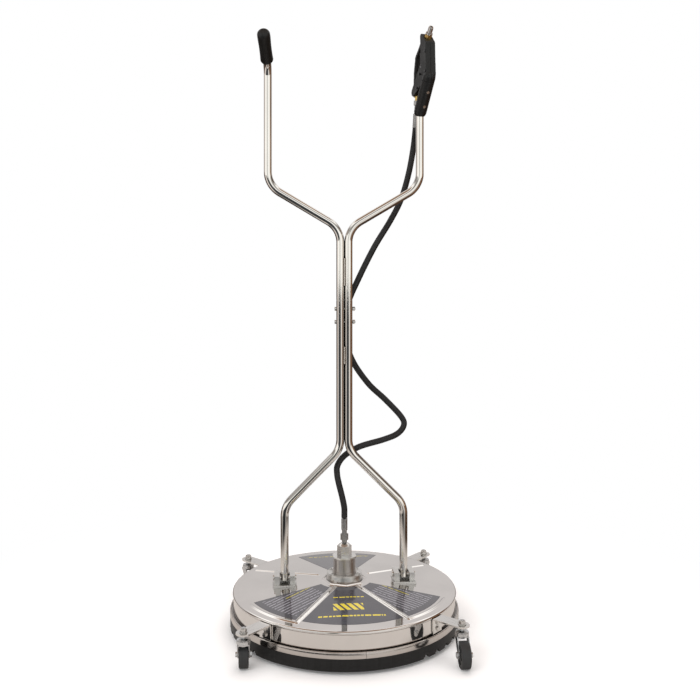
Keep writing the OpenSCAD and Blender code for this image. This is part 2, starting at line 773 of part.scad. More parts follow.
// Strip with round joints through a list of points
module strip2(pts, r) {
    for (i = [0 : len(pts) - 2]) hull() {
        dot2(pts[i], r);
        dot2(pts[i + 1], r);
    }
}

module clamp_capsule() {
    a = in_plane(clamp_a.x, clamp_a.y);
    translate(a) rotate([gun_turn, 0, 0]) {
        cylinder(r = clamp_r, h = clamp_len);
        sphere(r = clamp_r);
        translate([0, 0, clamp_len]) sphere(r = clamp_r);
    }
}

module gun_body_solid() {
    side_view(gun_half_t) {
        // Grip, with its end face square to the inlet
        hull() { dot2([58, 112], 16); dot2([62, 188], 8); dot2([40, 212], 7); }
        // Housing of the valve
        hull() { dot2([-14, 70], 12); dot2([34, 112], 17); dot2([58, 106], 17); }
        hull() { dot2([34, 112], 17); dot2([58, 106], 17); dot2([48, 84], 14); }
    }
    side_view(guard_half_t)
        strip2([[-25, 62], [-22, 126], [-12, 166], [14, 188], [37, 212]], 4.5);
    clamp_capsule();
}

module tube_pocket(c) rotate([0, 0, -90]) {
    translate([0, 0, -30]) cylinder(r = tube_r + c, h = 30 + lap);
    elbow(gun_turn, tube_r + c, gun_bend_r);
    after_elbow(gun_turn, gun_bend_r) straight(gun_tube_end + 1, tube_r + c);
}

// The inlet's axis, where the hex and the plug stand
module at_inlet() {
    translate(in_plane(inlet_p.x, inlet_p.y)) rotate([inlet_turn, 0, 0]) children();
}

// Everything that sits inside the two halves
module gun_pockets() {
    c = 0.15;
    tube_pocket(c);
    valve_solid(c);
    rod(in_plane(30, plunger_h), in_plane(riser_s, plunger_h), plunger_r + 0.6);
    side_view(6.8) trigger_slot();
    across(pivot_s, pivot_h, 3 + gap);
    across(safety_p.x, safety_p.y, 3 + gap);
    for (p = shell_screw_p) across(p.x, p.y, 2 + gap);
    at_inlet() cylinder(r = inlet_flats / 2 / cos(30) + 2 * c, h = 16);
}

module across(s, h, r) {
    translate([-30, -s, h]) rotate([0, 90, 0]) cylinder(r = r, h = 60);
}

// Slot that clears the trigger's boss, its pad and the return spring
module trigger_slot() {
    translate([pivot_s, pivot_h]) {
        circle(6.3);
        polygon([[-9, 2], [6, -1], [31.6, 9.5], [31.6, 40], [-9, 40]]);
    }
}

// Near half of the clamp, past the tube's axis
module cover_region(grow) {
    translate(in_plane(clamp_a.x, clamp_a.y)) rotate([gun_turn, 0, 0])
        translate([-30, -60, -30]) cube([60, 60 + grow, 30 + cover_len + grow]);
}

module gun_half(side) color([0.12, 0.12, 0.13]) gun_frame() difference() {
    intersection() {
        gun_body_solid();
        translate([side > 0 ? gap : -60 - gap, -150, -40]) cube([60, 250, 300]);
    }
    cover_region(gap);
    gun_pockets();
}

module gun_shell_left() { gun_half(-1); }
module gun_shell_right() { gun_half(1); }

module gun_clamp_cover() color([0.13, 0.13, 0.14]) gun_frame() difference() {
    intersection() {
        gun_body_solid();
        cover_region(-gap);
    }
    tube_pocket(0.15);
    rod(in_plane(riser_s, 98), in_plane(riser_s, 130), riser_r + 0.15);
    for (t = clamp_screw_t) clamp_screw_place(t) {
        cylinder(r = 2.3, h = 30);
        translate([0, 0, 15.4]) cylinder(r = 4.2, h = 6);
    }
}

module gun_screws() color([0.82, 0.82, 0.82]) gun_frame() {
    for (t = clamp_screw_t) clamp_screw_place(t) {
        translate([0, 0, 6]) cylinder(r = 2.2, h = 9.6);
        translate([0, 0, 15.5]) cylinder(r = 4, h = 2.2);
    }
    for (p = shell_screw_p) translate([-gun_half_t - 0.6, -p.x, p.y]) rotate([0, 90, 0]) {
        cylinder(r = 2, h = 2 * gun_half_t - 2);
        translate([0, 0, -1.6]) cylinder(r = 3.6, h = 2);
    }
}

// Brass body: inlet boss on top, riser in the grip, cross passage and outlet
module valve_solid(c) {
    rod(in_plane(outlet_end.x, outlet_end.y), in_plane(outlet_top.x, outlet_top.y), 8 + c);
    rod(in_plane(-14, 82), in_plane(riser_s, 106), 6 + c);
    rod(in_plane(riser_s, 98), in_plane(inlet_p.x, inlet_p.y), riser_r + c);
    translate(in_plane(inlet_p.x - 2, inlet_p.y - 3)) rotate([inlet_turn, 0, 0]) cylinder(r = 9.5 + c, h = 8);
    rod(in_plane(outlet_end.x - 1.5, outlet_end.y - 9), in_plane(outlet_end.x, outlet_end.y + 1), 6.5 + c);
}

module gun_valve_body() color([0.78, 0.62, 0.28]) gun_frame() difference() {
    union() {
        valve_solid(0);
        at_inlet() hex(inlet_flats, 14);
    }
    rod(in_plane(riser_s, 104), in_plane(inlet_p.x, inlet_p.y + 2), 3);
    rod(in_plane(-13, 82.4), in_plane(riser_s, 106.5), 2.4);
    rod(in_plane(outlet_end.x - 2, outlet_end.y - 12), in_plane(-13, 83), 3);
    at_inlet() cylinder(r = plug_r + gap, h = 20);
    rod(in_plane(riser_s - 20, plunger_h), in_plane(riser_s + 5.6, plunger_h), plunger_r + gap);
}

// Each step is [outer radius, start, end], from the threaded end to the nose
module inlet_plug() color([0.84, 0.84, 0.85]) gun_frame() at_inlet() rotate_extrude()
    for (step = [[plug_r, 4, 16], [9.6, 14.1, 18.1], [6.2, 18, 23], [plug_nose_r, 22, 34], [5.6, 33, 37]])
        translate([plug_bore_r, step[1]]) square([step[0] - plug_bore_r, step[2] - step[1]]);

module trigger() color([0.10, 0.10, 0.11]) gun_frame() difference() {
    side_view(6) translate([pivot_s, pivot_h]) {
        hull() { dot2([0, 0], 5.5); dot2([9, 18], 5); }
        hull() { dot2([9, 18], 5); dot2([11, 42], 4.5); }
        hull() { dot2([11, 42], 4.5); dot2([6, 66], 3.6); }
        translate([5, 11]) square([10, 12]);
    }
    across(pivot_s, pivot_h, 3 + gap);
}

module trigger_pin() color([0.75, 0.75, 0.75]) gun_frame() translate([-gun_half_t, -pivot_s, pivot_h])
    rotate([0, 90, 0]) cylinder(r = 3, h = 2 * gun_half_t);

module valve_plunger() color([0.72, 0.72, 0.73]) gun_frame()
    rod(in_plane(pivot_s + 15.6, plunger_h), in_plane(riser_s - 1, plunger_h), plunger_r);

// Return spring round the plunger, drawn at its pressed length
function coil(i) = [
    coil_r * cos(i * 30), -(coil_s[0] + (coil_s[1] - coil_s[0]) * i / coil_steps),
    plunger_h + coil_r * sin(i * 30)
];

module trigger_spring() color([0.70, 0.70, 0.72]) gun_frame()
    for (i = [0 : coil_steps - 1]) hull() {
        translate(coil(i)) sphere(r = 0.7, $fn = 8);
        translate(coil(i + 1)) sphere(r = 0.7, $fn = 8);
    }

// Cross bolt that slides from side to side
module safety_button() color([0.15, 0.15, 0.16]) gun_frame()
    translate([-gun_half_t - 4, -safety_p.x, safety_p.y]) rotate([0, 90, 0])
        cylinder(r = 3, h = 2 * gun_half_t + 4);

// ---- hose ----

function gun_world(s, h) = [bar_x + s * sin(gun_toe), -s * cos(gun_toe), gun_z + h];

module crimp(l) {
    rotate_extrude() difference() {
        translate([4.5, 0]) square([4, l]);
        for (z = [4 : 5 : l - 3]) translate([8.7, z]) circle(r = 0.6, $fn = 24);
    }
}

// Nut, neck and crimped ferrule at the hose's upper end
module hose_fitting_upper() color([0.70, 0.70, 0.70]) gun_frame()
    translate(in_plane(ferrule_start.x, ferrule_start.y))
        rotate([atan2(-outlet_dir.x, -outlet_dir.y) + 180, 0, 0]) {
            difference() {
                union() {
                    hex(17, 13);
                    cylinder(r = 6.2, h = 36);
                }
                translate([0, 0, -1]) cylinder(r = 3.5, h = 40);
            }
            translate([0, 0, 36 + gap]) crimp(38);
        }

// Points that the hose passes through, from the swivel to the gun
LOWER_RUN = [
    [0, 0, ferrule_top_z + 9], [-0.5, 0, ferrule_top_z + 30], [-6.3, 1, 349], [-14.2, 6, 381],
    [-19, 13, 407], [-17, 21, 431]
];
UPPER_RUN = [
    [-17, 21, 431], [4, 27, 457], [46, 30, 480], [116, 44, 496], [157, 56, 510], [176, 66, 533],
    [166, 70, 558], [121, 62, 606], [71, 48, 654], [24, 34, 723], [2, 28, 799], [12, 28, 877],
    [41, 30, 946], [87, 38, 1036], [133, 46, 1110], [165, 50, 1172], [186, 48, 1243],
    gun_world(-46, -84), gun_world(ferrule_end.x - 1.4, ferrule_end.y - 9)
];

// Smooth curve through four neighbouring points
function spline(a, b, c, d, t) =
    0.5 * ((2 * b) + (c - a) * t + (2 * a - 5 * b + 4 * c - d) * t * t + (3 * b - a - 3 * c + d) * t * t * t);

function run_point(p, i, t) = spline(
    p[max(i - 1, 0)], p[i], p[i + 1], p[min(i + 2, len(p) - 1)], t
);

module hose_run(p, start_trim, end_trim) {
    n = 4;
    last = (len(p) - 1) * n;
    for (k = [start_trim : last - 1 - end_trim]) hull() {
        translate(run_point(p, floor(k / n), (k % n) / n)) sphere(r = hose_r, $fn = 16);
        translate(run_point(p, floor((k + 1) / n - 0.001), ((k + 1) % n) == 0 ? 1 : ((k + 1) % n) / n))
            sphere(r = hose_r, $fn = 16);
    }
}

module hose_lower() color([0.08, 0.08, 0.09]) hose_run(LOWER_RUN, 0, 2);
module hose_upper() color([0.08, 0.08, 0.09]) hose_run(UPPER_RUN, 1, 0);

deck_shell();
rim_band();
skirt_brush();
deck_stickers();
hub_flange();
hub_bolts();
swivel_housing();
swivel_cap();
inlet_coupling();
hose_fitting_lower();
upper_bearing();
lower_bearing();
pressure_seal();
rotor_shaft();
spray_manifold();
spray_arms();
nozzle_bodies();
spray_nozzles();
caster_arms();
arm_bolts();
caster_stems();
stem_nuts();
near_left_fork();
near_right_fork();
far_left_fork();
far_right_fork();
near_left_axle();
near_right_axle();
far_left_axle();
far_right_axle();
near_left_wheel();
near_right_wheel();
far_left_wheel();
far_right_wheel();
left_bracket();
right_bracket();
bracket_screws();
pivot_pins();
lower_tube_left();
lower_tube_right();
upper_tube_left();
upper_tube_right();
joint_sleeves();
joint_bolts();
tube_welds();
left_grip();
gun_shell_left();
gun_shell_right();
gun_clamp_cover();
gun_screws();
gun_valve_body();
inlet_plug();
trigger();
trigger_pin();
valve_plunger();
trigger_spring();
safety_button();
hose_fitting_upper();
hose_lower();
hose_upper();
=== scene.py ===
import json
import math

import bmesh
import bpy
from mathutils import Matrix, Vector


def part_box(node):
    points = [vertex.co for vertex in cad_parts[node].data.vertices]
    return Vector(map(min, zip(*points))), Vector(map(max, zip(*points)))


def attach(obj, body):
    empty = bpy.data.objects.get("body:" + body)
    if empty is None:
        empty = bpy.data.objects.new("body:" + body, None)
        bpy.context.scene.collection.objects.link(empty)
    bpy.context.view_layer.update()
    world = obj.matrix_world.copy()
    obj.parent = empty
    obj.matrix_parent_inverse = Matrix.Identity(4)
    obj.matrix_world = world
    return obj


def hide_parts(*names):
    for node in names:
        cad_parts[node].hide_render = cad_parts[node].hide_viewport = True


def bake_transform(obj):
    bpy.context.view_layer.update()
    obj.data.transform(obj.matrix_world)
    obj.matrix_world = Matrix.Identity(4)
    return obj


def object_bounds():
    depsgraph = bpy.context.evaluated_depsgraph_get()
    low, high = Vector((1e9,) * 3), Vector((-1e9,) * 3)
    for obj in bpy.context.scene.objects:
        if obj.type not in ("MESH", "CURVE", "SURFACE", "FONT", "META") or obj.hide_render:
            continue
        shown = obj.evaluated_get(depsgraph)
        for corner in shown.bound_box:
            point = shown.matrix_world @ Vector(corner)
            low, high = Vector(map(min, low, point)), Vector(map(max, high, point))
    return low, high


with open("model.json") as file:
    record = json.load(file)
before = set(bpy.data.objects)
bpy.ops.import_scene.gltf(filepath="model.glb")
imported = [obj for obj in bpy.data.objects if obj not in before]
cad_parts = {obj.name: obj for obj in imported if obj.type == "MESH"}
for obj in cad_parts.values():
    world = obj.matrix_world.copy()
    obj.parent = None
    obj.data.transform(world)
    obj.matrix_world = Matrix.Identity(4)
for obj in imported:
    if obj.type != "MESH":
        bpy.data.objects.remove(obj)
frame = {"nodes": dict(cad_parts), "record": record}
cad_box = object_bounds()
MM = 0.001
SHARP_ANGLE = math.radians(38)
EDGE_ANGLE = math.radians(40)
EDGE_WIDTH = 0.35 * MM
WELD_GAP = 0.01 * MM
# Painted shade in creases: ambient occlusion samples, its reach and the brown-black it darkens to
CREASE_SAMPLES = 12
CREASE_REACH = 7 * MM
CREASE_SHADE_COLOUR = (0.03, 0.022, 0.018)


# ---- material graphs ----

def opaque(value):
    """An rgb colour with its alpha added; anything else as it is."""
    return (*value, 1) if isinstance(value, tuple) and len(value) == 3 else value


class Graph:
    """A material, or the world, whose nodes are added and joined one by one."""

    def __init__(self, owner):
        owner.use_nodes = True
        self.owner = owner
        self.tree = owner.node_tree
        self.shader = self.tree.nodes.get("Principled BSDF")

    def add(self, kind, values=None, **settings):
        node = self.tree.nodes.new(kind)
        for key, value in settings.items():
            setattr(node, key, value)
        for key, value in (values or {}).items():
            self.feed(node.inputs[key], value)
        return node

    def feed(self, socket, value):
        if isinstance(value, bpy.types.NodeSocket):
            self.tree.links.new(value, socket)
        elif isinstance(value, bpy.types.Node):
            self.tree.links.new(value.outputs[0], socket)
        else:
            socket.default_value = value

    def maths(self, operation, a, b=0.0, clamp=False):
        return self.add("ShaderNodeMath", {0: a, 1: b}, operation=operation, use_clamp=clamp).outputs[0]

    def ramp(self, factor, low, high, start=0.0, end=1.0):
        """Runs smoothly from low to high while factor goes from start to end."""
        node = self.add("ShaderNodeMapRange", {"Value": factor, "From Min": start, "From Max": end,
                                               "To Min": low, "To Max": high})
        node.interpolation_type = "SMOOTHSTEP"
        return node.outputs[0]

    def colours(self, factor, stops):
        """A colour ramp through (place, rgb) stops."""
        node = self.add("ShaderNodeValToRGB", {"Fac": factor})
        elements = node.color_ramp.elements
        while len(elements) < len(stops):
            elements.new(0.5)
        for element, (place, colour) in zip(elements, stops):
            element.position = place
            element.color = (*colour, 1)
        return node.outputs[0]

    def mix(self, factor, a, b):
        node = self.add("ShaderNodeMix", {"Factor": factor}, data_type="RGBA")
        for key, value in ((6, a), (7, b)):
            self.feed(node.inputs[key], opaque(value))
        return node.outputs[2]

    def place(self, scale=(1, 1, 1), use_uv=False):
        """Object coordinates, or a sweep's own UVs, stretched by scale."""
        source = self.add("ShaderNodeTexCoord").outputs["UV" if use_uv else "Object"]
        return self.add("ShaderNodeMapping", {"Vector": source, "Scale": scale}).outputs[0]

    def noise(self, scale, where=None, detail=3.0, distortion=0.0):
        values = {"Scale": scale, "Detail": detail, "Distortion": distortion}
        values["Vector"] = where if where is not None else self.place()
        return self.add("ShaderNodeTexNoise", values).outputs[0]

    def bearing(self, x, y):
        """0.5 towards the operator's side, growing towards +X, and 0 or 1 behind the object."""
        turn = self.maths("ARCTAN2", x, self.maths("MULTIPLY", y, -1.0))
        return self.maths("ADD", self.maths("MULTIPLY", turn, 0.5 / math.pi), 0.5)

    def bump(self, height, strength, distance):
        node = self.add("ShaderNodeBump", {"Height": height, "Strength": strength, "Distance": distance})
        self.feed(self.shader.inputs["Normal"], node.outputs[0])

    def painted_crease_shade(self, colour, reach, closed, clear):
        """The colour with painted shade: it goes to a brown-black where faces within reach close in."""
        node = self.add("ShaderNodeAmbientOcclusion", {"Distance": reach}, samples=CREASE_SAMPLES)
        return self.mix(self.ramp(node.outputs["AO"], 0, 1, closed, clear), CREASE_SHADE_COLOUR, colour)

    def set(self, **values):
        for key, value in values.items():
            name = {"colour": "Base Color", "metal": "Metallic", "rough": "Roughness", "coat": "Coat Weight",
                    "coat_rough": "Coat Roughness", "sheen": "Sheen Weight", "specular": "Specular IOR Level",
                    "anisotropy": "Anisotropic"}[key]
            self.feed(self.shader.inputs[name], opaque(value))
        return self.owner


def material(name):
    return Graph(bpy.data.materials.new(name))


def shade(colour, factor):
    """A darker or brighter copy of a colour."""
    return tuple(c * factor for c in colour)


def polished(name, colour, rough, use_uv=False):
    """Polished stainless: faint cloudy smudges, fine polishing lines, and painted shade that darkens the
    creases where sheets meet.
    """
    g = material(name)
    lines = g.noise(60, g.place((260, 3, 1), True) if use_uv else g.place((9, 9, 9)), 4)
    smudge = g.noise(7, detail=5)
    tint = g.mix(g.ramp(smudge, 0, 1, 0.35, 0.7), shade(colour, 0.93), colour)
    # Painted shade: the colour goes brown-black in creases, by ambient occlusion
    g.set(colour=g.painted_crease_shade(tint, CREASE_REACH, 0.35, 0.8), metal=1.0,
          rough=g.ramp(smudge, rough * 0.7, rough * 1.6, 0.3, 0.75))
    g.bump(lines, 0.05 if use_uv else 0.025, 0.0004)
    return g.owner


def satin(name, colour, rough, grain=900, depth=0.00025):
    """Blasted or cast alloy: even fine grain with duller and brighter patches."""
    g = material(name)
    patch = g.noise(25, detail=6)
    g.set(colour=g.mix(patch, shade(colour, 0.82), shade(colour, 1.08)), metal=1.0,
          rough=g.ramp(patch, rough * 0.8, rough * 1.25, 0.3, 0.7))
    g.bump(g.noise(grain, detail=4), 0.35, depth)
    return g.owner


def turned(name, colour, rough):
    """Metal turned on a lathe: fine rings round the vertical axis."""
    g = material(name)
    waves = {"Vector": g.place(), "Scale": 420.0, "Distortion": 0.6, "Detail": 2.0}
    rings = g.add("ShaderNodeTexWave", waves, bands_direction="Z").outputs[1]
    patch = g.noise(30, g.place((1, 1, 0.3)), 5)
    g.set(colour=g.mix(patch, shade(colour, 0.86), shade(colour, 1.05)), metal=1.0,
          rough=g.ramp(rings, rough * 0.8, rough * 1.3), anisotropy=0.3)
    g.bump(rings, 0.12, 0.0002)
    return g.owner


def plated(name, colour, rough):
    """Bright zinc or nickel plate with soft mottling."""
    g = material(name)
    cells = g.add("ShaderNodeTexVoronoi", {"Vector": g.place(), "Scale": 160.0}).outputs["Distance"]
    blotch = g.noise(60, detail=5)
    g.set(colour=g.mix(blotch, shade(colour, 0.78), shade(colour, 1.06)), metal=1.0,
          rough=g.ramp(cells, rough * 0.8, rough * 1.4))
    g.bump(g.noise(700, detail=3), 0.15, 0.0002)
    return g.owner


def moulded(name, colour, rough, grain=1400, depth=0.0003, wear=1.6):
    """Moulded black plastic or rubber: fine grain, and lighter scuffs along convex edges."""
    g = material(name)
    edge = g.ramp(g.add("ShaderNodeNewGeometry").outputs["Pointiness"], 0, 1, 0.52, 0.60)
    scuff = g.maths("MULTIPLY", edge, g.ramp(g.noise(120, detail=5), 0.2, 1.0, 0.4, 0.65))
    cloud = g.noise(18, detail=5)
    base = g.mix(cloud, shade(colour, 0.8), shade(colour, 1.25))
    g.set(colour=g.mix(scuff, base, shade(colour, wear)), specular=0.45,
          rough=g.ramp(cloud, rough * 0.85, rough * 1.15, 0.3, 0.7))
    g.bump(g.noise(grain, detail=4), 0.35, depth)
    return g.owner


def bristle(name):
    """Dense black bristles: fine vertical streaks that part here and there."""
    g = material(name)
    strands = g.noise(1.0, g.place((900, 900, 25)), 4)
    tufts = g.noise(1.0, g.place((90, 90, 6)), 3)
    both = g.maths("ADD", g.maths("MULTIPLY", strands, 0.6), g.maths("MULTIPLY", tufts, 0.4))
    g.set(colour=g.colours(both, [(0.3, (0.003, 0.003, 0.003)), (0.7, (0.014, 0.014, 0.015))]), rough=0.62,
          specular=0.3, sheen=0.15)
    g.bump(both, 0.5, 0.0006)
    return g.owner


def hose_rubber(name):
    """Smooth hose cover with the faint weave of its cloth wrap."""
    g = material(name)
    waves = {"Vector": g.place((1, 1, 1), True), "Scale": 90.0, "Distortion": 1.5, "Detail": 2.0}
    weave = g.add("ShaderNodeTexWave", waves, bands_direction="DIAGONAL").outputs[1]
    dust = g.noise(14, detail=6)
    g.set(colour=g.mix(g.ramp(dust, 0, 1, 0.4, 0.8), (0.012, 0.012, 0.013), (0.03, 0.03, 0.031)),
          rough=g.ramp(dust, 0.38, 0.6, 0.3, 0.7), specular=0.4)
    g.bump(weave, 0.12, 0.0002)
    return g.owner


# The stickers: two side wedges of fine rows, and a near and a far wedge that straddle the middle
LABEL_ANGLE = math.radians(41)
LABEL_ROW = 11.5 * MM
ROW_HEAD_END = 190 * MM
WEDGE_FROM, WEDGE_TO = math.radians(-56), math.radians(-26)
WEDGE_IN, WEDGE_OUT = 105 * MM, 250 * MM
MARK_X = (-44 * MM, 34 * MM)
MARK_Y = (-192 * MM, -157 * MM)
MARK_PITCH = 18 * MM
MARK_SLANT = 0.5
THIN_BARS = (((-124 * MM, -119 * MM), 40 * MM), ((-226 * MM, -219 * MM), 85 * MM),
             ((225 * MM, 229 * MM), 90 * MM))
BAR_BREAKS = 210
ROW_BREAKS = 150.0
LABEL_YELLOW = (0.78, 0.62, 0.02)
ROW_GREY = (0.30, 0.29, 0.34)
ROW_YELLOW = (0.50, 0.42, 0.04)


def printed_label(name):
    """Dark glossy film with plain pale and yellow bars in place of print."""
    g = material(name)
    x, y = g.add("ShaderNodeSeparateXYZ", {0: g.place()}).outputs[:2]
    side = g.maths("ABSOLUTE", x)
    cosine, sine = math.cos(LABEL_ANGLE), math.sin(LABEL_ANGLE)
    along = g.maths("SUBTRACT", g.maths("MULTIPLY", side, cosine), g.maths("MULTIPLY", y, sine))
    across = g.maths("ADD", g.maths("MULTIPLY", side, sine), g.maths("MULTIPLY", y, cosine))

    def band(value, low, high, soft=0.4 * MM):
        """1 between low and high, and 0 outside."""
        up = g.ramp(value, 0, 1, low - soft, low + soft)
        return g.maths("MULTIPLY", up, g.ramp(value, 1, 0, high - soft, high + soft))

    # Rows of fine bars on the two side wedges, some of them yellow headings
    step = g.maths("MULTIPLY", across, 1 / LABEL_ROW)
    row, number = g.maths("FRACT", step), g.maths("FLOOR", step)
    spot = g.add("ShaderNodeCombineXYZ", {0: g.maths("MULTIPLY", along, ROW_BREAKS), 1: number}).outputs[0]
    rows = g.maths("MULTIPLY", band(row, 0.32, 0.64, 0.05), g.ramp(g.noise(1.0, spot, 1), 0, 1, 0.38, 0.42))
    wedge = band(g.maths("ARCTAN2", y, side), WEDGE_FROM, WEDGE_TO, 0.002)
    radius = g.maths("SQRT", g.maths("ADD", g.maths("MULTIPLY", x, x), g.maths("MULTIPLY", y, y)))
    rows = g.maths("MULTIPLY", g.maths("MULTIPLY", rows, wedge), band(radius, WEDGE_IN, WEDGE_OUT, 1 * MM))
    pick = g.add("ShaderNodeTexWhiteNoise", {"W": number}, noise_dimensions="1D").outputs[0]
    chosen, inside = g.maths("GREATER_THAN", pick, 0.8), g.maths("LESS_THAN", along, ROW_HEAD_END)
    row_colour = g.mix(g.maths("MULTIPLY", chosen, inside), ROW_GREY, ROW_YELLOW)
    # Slanted stripes on the near wedge, and thin broken bars on the near and far wedges
    slant = g.maths("ADD", x, g.maths("MULTIPLY", y, MARK_SLANT))
    stripes = band(g.maths("FRACT", g.maths("MULTIPLY", slant, 1 / MARK_PITCH)), 0.15, 0.80, 0.02)
    mark = g.maths("MULTIPLY", g.maths("MULTIPLY", band(y, *MARK_Y), band(x, *MARK_X)), stripes)
    bars = 0.0
    for (near, far), half in THIN_BARS:
        bars = g.maths("ADD", bars, g.maths("MULTIPLY", band(y, near, far), band(side, -1, half)))
    letters = g.ramp(g.noise(1.0, g.place((BAR_BREAKS, 0, 0)), 0), 0, 1, 0.40, 0.44)
    yellow = g.maths("ADD", mark, g.maths("MULTIPLY", bars, letters), clamp=True)
    dust = g.noise(40, detail=6)
    film = g.mix(dust, (0.030, 0.030, 0.042), (0.050, 0.048, 0.062))
    g.set(colour=g.mix(yellow, g.mix(rows, film, row_colour), LABEL_YELLOW), rough=g.ramp(dust, 0.10, 0.2),
          specular=0.7, coat=0.6, coat_rough=0.05)
    g.bump(g.noise(60, detail=2), 0.03, 0.0004)
    return g.owner


# ---- mesh building ----

def make_piece(name, verts, faces, body, look, stands_for=(), uvs=None):
    """A smooth-shaded mesh in the row frame that rides on a body."""
    mesh = bpy.data.meshes.new(name)
    mesh.from_pydata(verts, [], faces)
    whole = bmesh.new()
    whole.from_mesh(mesh)
    bmesh.ops.recalc_face_normals(whole, faces=whole.faces)
    whole.to_mesh(mesh)
    whole.free()
    if uvs:
        layer = mesh.uv_layers.new(name="length")
        for loop in mesh.loops:
            layer.data[loop.index].uv = uvs[loop.vertex_index]
    return dress(bpy.data.objects.new(name, mesh), body, look, stands_for)


def dress(obj, body, look, stands_for=()):
    """Gives a piece its look, its body and the CAD nodes that it stands for."""
    if obj.name not in bpy.context.scene.collection.objects:
        bpy.context.scene.collection.objects.link(obj)
    obj.data.materials.clear()
    obj.data.materials.append(look)
    obj.data.polygons.foreach_set("use_smooth", [True] * len(obj.data.polygons))
    obj.data.set_sharp_from_angle(angle=SHARP_ANGLE)
    if body:
        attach(obj, body)
    if stands_for:
        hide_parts(*stands_for)
    return obj


def grid_faces(rows, columns, around=True, closed=False):
    """Quads that join a grid of points, row by row. around joins the last column to the first."""
    faces = []
    for i in range(rows if closed else rows - 1):
        for j in range(columns if around else columns - 1):
            a, b = i * columns, (i + 1) % rows * columns
            k = (j + 1) % columns
            faces.append((a + j, a + k, b + k, b + j))
    return faces


def rounded_path(corners, radii, step):
    """Points along straight lengths joined by arcs of the given radii."""
    points = [corners[0]]
    for before_point, corner, after_point, radius in zip(corners, corners[1:], corners[2:], radii):
        before = (corner - before_point).normalized()
        after = (after_point - corner).normalized()
        turn = before.angle(after)
        start = corner - before * radius * math.tan(turn / 2)
        inward = (after - before * before.dot(after)).normalized()
        middle = start + inward * radius
        count = max(6, round(turn * radius / step))
        for i in range(count + 1):
            a = turn * i / count
            points.append(middle + (before * math.sin(a) - inward * math.cos(a)) * radius)
    points.append(corners[-1])
    return points


def directions(points):
    """Direction of a path at each of its points."""
    last = len(points) - 1
    return [(points[min(i + 1, last)] - points[max(i - 1, 0)]).normalized() for i in range(last + 1)]


def sweep(rings, sides):
    """Joins rings of (centre, direction, radius), closes both ends, and gives UVs of turn and length."""
    verts, uvs, run, side = [], [], 0.0, rings[0][1].orthogonal()
    for i, (place, ahead, radius) in enumerate(rings):
        side = (side - ahead * side.dot(ahead)).normalized()
        up = ahead.cross(side)
        run += (place - rings[max(i - 1, 0)][0]).length
        for j in range(sides):
            a = math.tau * j / sides
            verts.append(place + (side * math.cos(a) + up * math.sin(a)) * radius)
            uvs.append((abs(2 * j / sides - 1), run))
    faces = grid_faces(len(rings), sides)
    last = (len(rings) - 1) * sides
    faces.append(tuple(reversed(range(sides))))
    faces.append(tuple(range(last, last + sides)))
    return verts, faces, uvs


def spline(points, steps):
    """A smooth curve through points, with steps pieces between neighbours."""
    curve = []
    for k in range(len(points) - 1):
        a, b, c, d = (points[min(max(k + i, 0), len(points) - 1)] for i in (-1, 0, 1, 2))
        for i in range(steps):
            t = i / steps
            curve.append(0.5 * (2 * b + (c - a) * t + (2 * a - 5 * b + 4 * c - d) * t * t
                                + (3 * b - a - 3 * c + d) * t * t * t))
    curve.append(points[-1])
    return curve


def polar(r, degrees, z):
    """A point at a radius and an angle about the spray axis."""
    return r * math.cos(math.radians(degrees)), r * math.sin(math.radians(degrees)), z


def apart(a, b):
    """Signed difference of two angles in degrees, from -180 to 180."""
    return (a - b + 180) % 360 - 180


def lathe(profile, place, axis, sides):
    """A profile of (radius, height) points turned about an axis through place."""
    turn = Vector((0, 0, 1)).rotation_difference(Vector(axis).normalized())
    verts = []
    for r, h in profile:
        for j in range(sides):
            verts.append(Vector(place) + turn @ Vector(polar(r, 360 * j / sides, h)))
    return verts


def arc(middle, radius, start, end, count):
    """Profile points along an arc, with angles in degrees."""
    angles = [math.radians(start + (end - start) * i / count) for i in range(count + 1)]
    return [(middle[0] + radius * math.cos(a), middle[1] + radius * math.sin(a)) for a in angles]


def smooth(t):
    """Eases from 0 to 1 while t goes from 0 to 1."""
    t = min(max(t, 0.0), 1.0)
    return t * t * (3 - 2 * t)


# ---- deck ----

FLANGE_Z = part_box("hub_flange")[0].z
SEAT_Z = FLANGE_Z - 2 * MM
DECK_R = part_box("deck_shell")[1].x
RIM_Z = SEAT_Z - 20 * MM
SEAT_R = 62 * MM
EDGE_R = DECK_R - 3.5 * MM
EDGE_LIFT = 0.2 * MM
WALL_R = DECK_R - 2 * MM
ROLL_R = 5 * MM
ROLL_SPAN = (75, -53)
SHEET_T = 1.5 * MM
WALL_TOP = RIM_Z - 9 * MM
HUB_HOLE_R = 26 * MM
WALL_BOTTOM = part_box("deck_shell")[0].z

RIB_HALF = 7 * MM
RIB_H = 2.5 * MM
RIB_START = {240: 64 * MM, 300: 64 * MM, 150: 82 * MM, 30: 82 * MM}
RIB_END = 280 * MM
RIB_REACH = 0.3
RIM_BEAD_HALF = 6 * MM
RIM_BEADS = ((205, 240), (300, 335))
RIM_BEAD_FADE = 3
PAD_SIDE = 45
PAD_FALL = 4.5 * MM
RIDGE_IN = 50.5 * MM
RIDGE_OUT = 58 * MM
RIDGE_H = 2.6 * MM

# Columns crowd together across each rib, and rows across the hub's ridge and the rim beads
RIB_SPREAD = 6.6
RIB_COLUMNS = 26
RIB_CROWDING = 1.7
ROW_ZONES = ((HUB_HOLE_R, 6 * MM), (48 * MM, 0.6 * MM), (66 * MM, 1.5 * MM), (90 * MM, 4.5 * MM),
             (270 * MM, 0.7 * MM), (290 * MM, 2 * MM), (EDGE_R, None))


def bead(distance, half):
    """Cross-section of a pressed bead: 1 on its line and 0 beyond its half width."""
    return math.cos(math.pi / 2 * distance / half) ** 2 if abs(distance) < half else 0.0


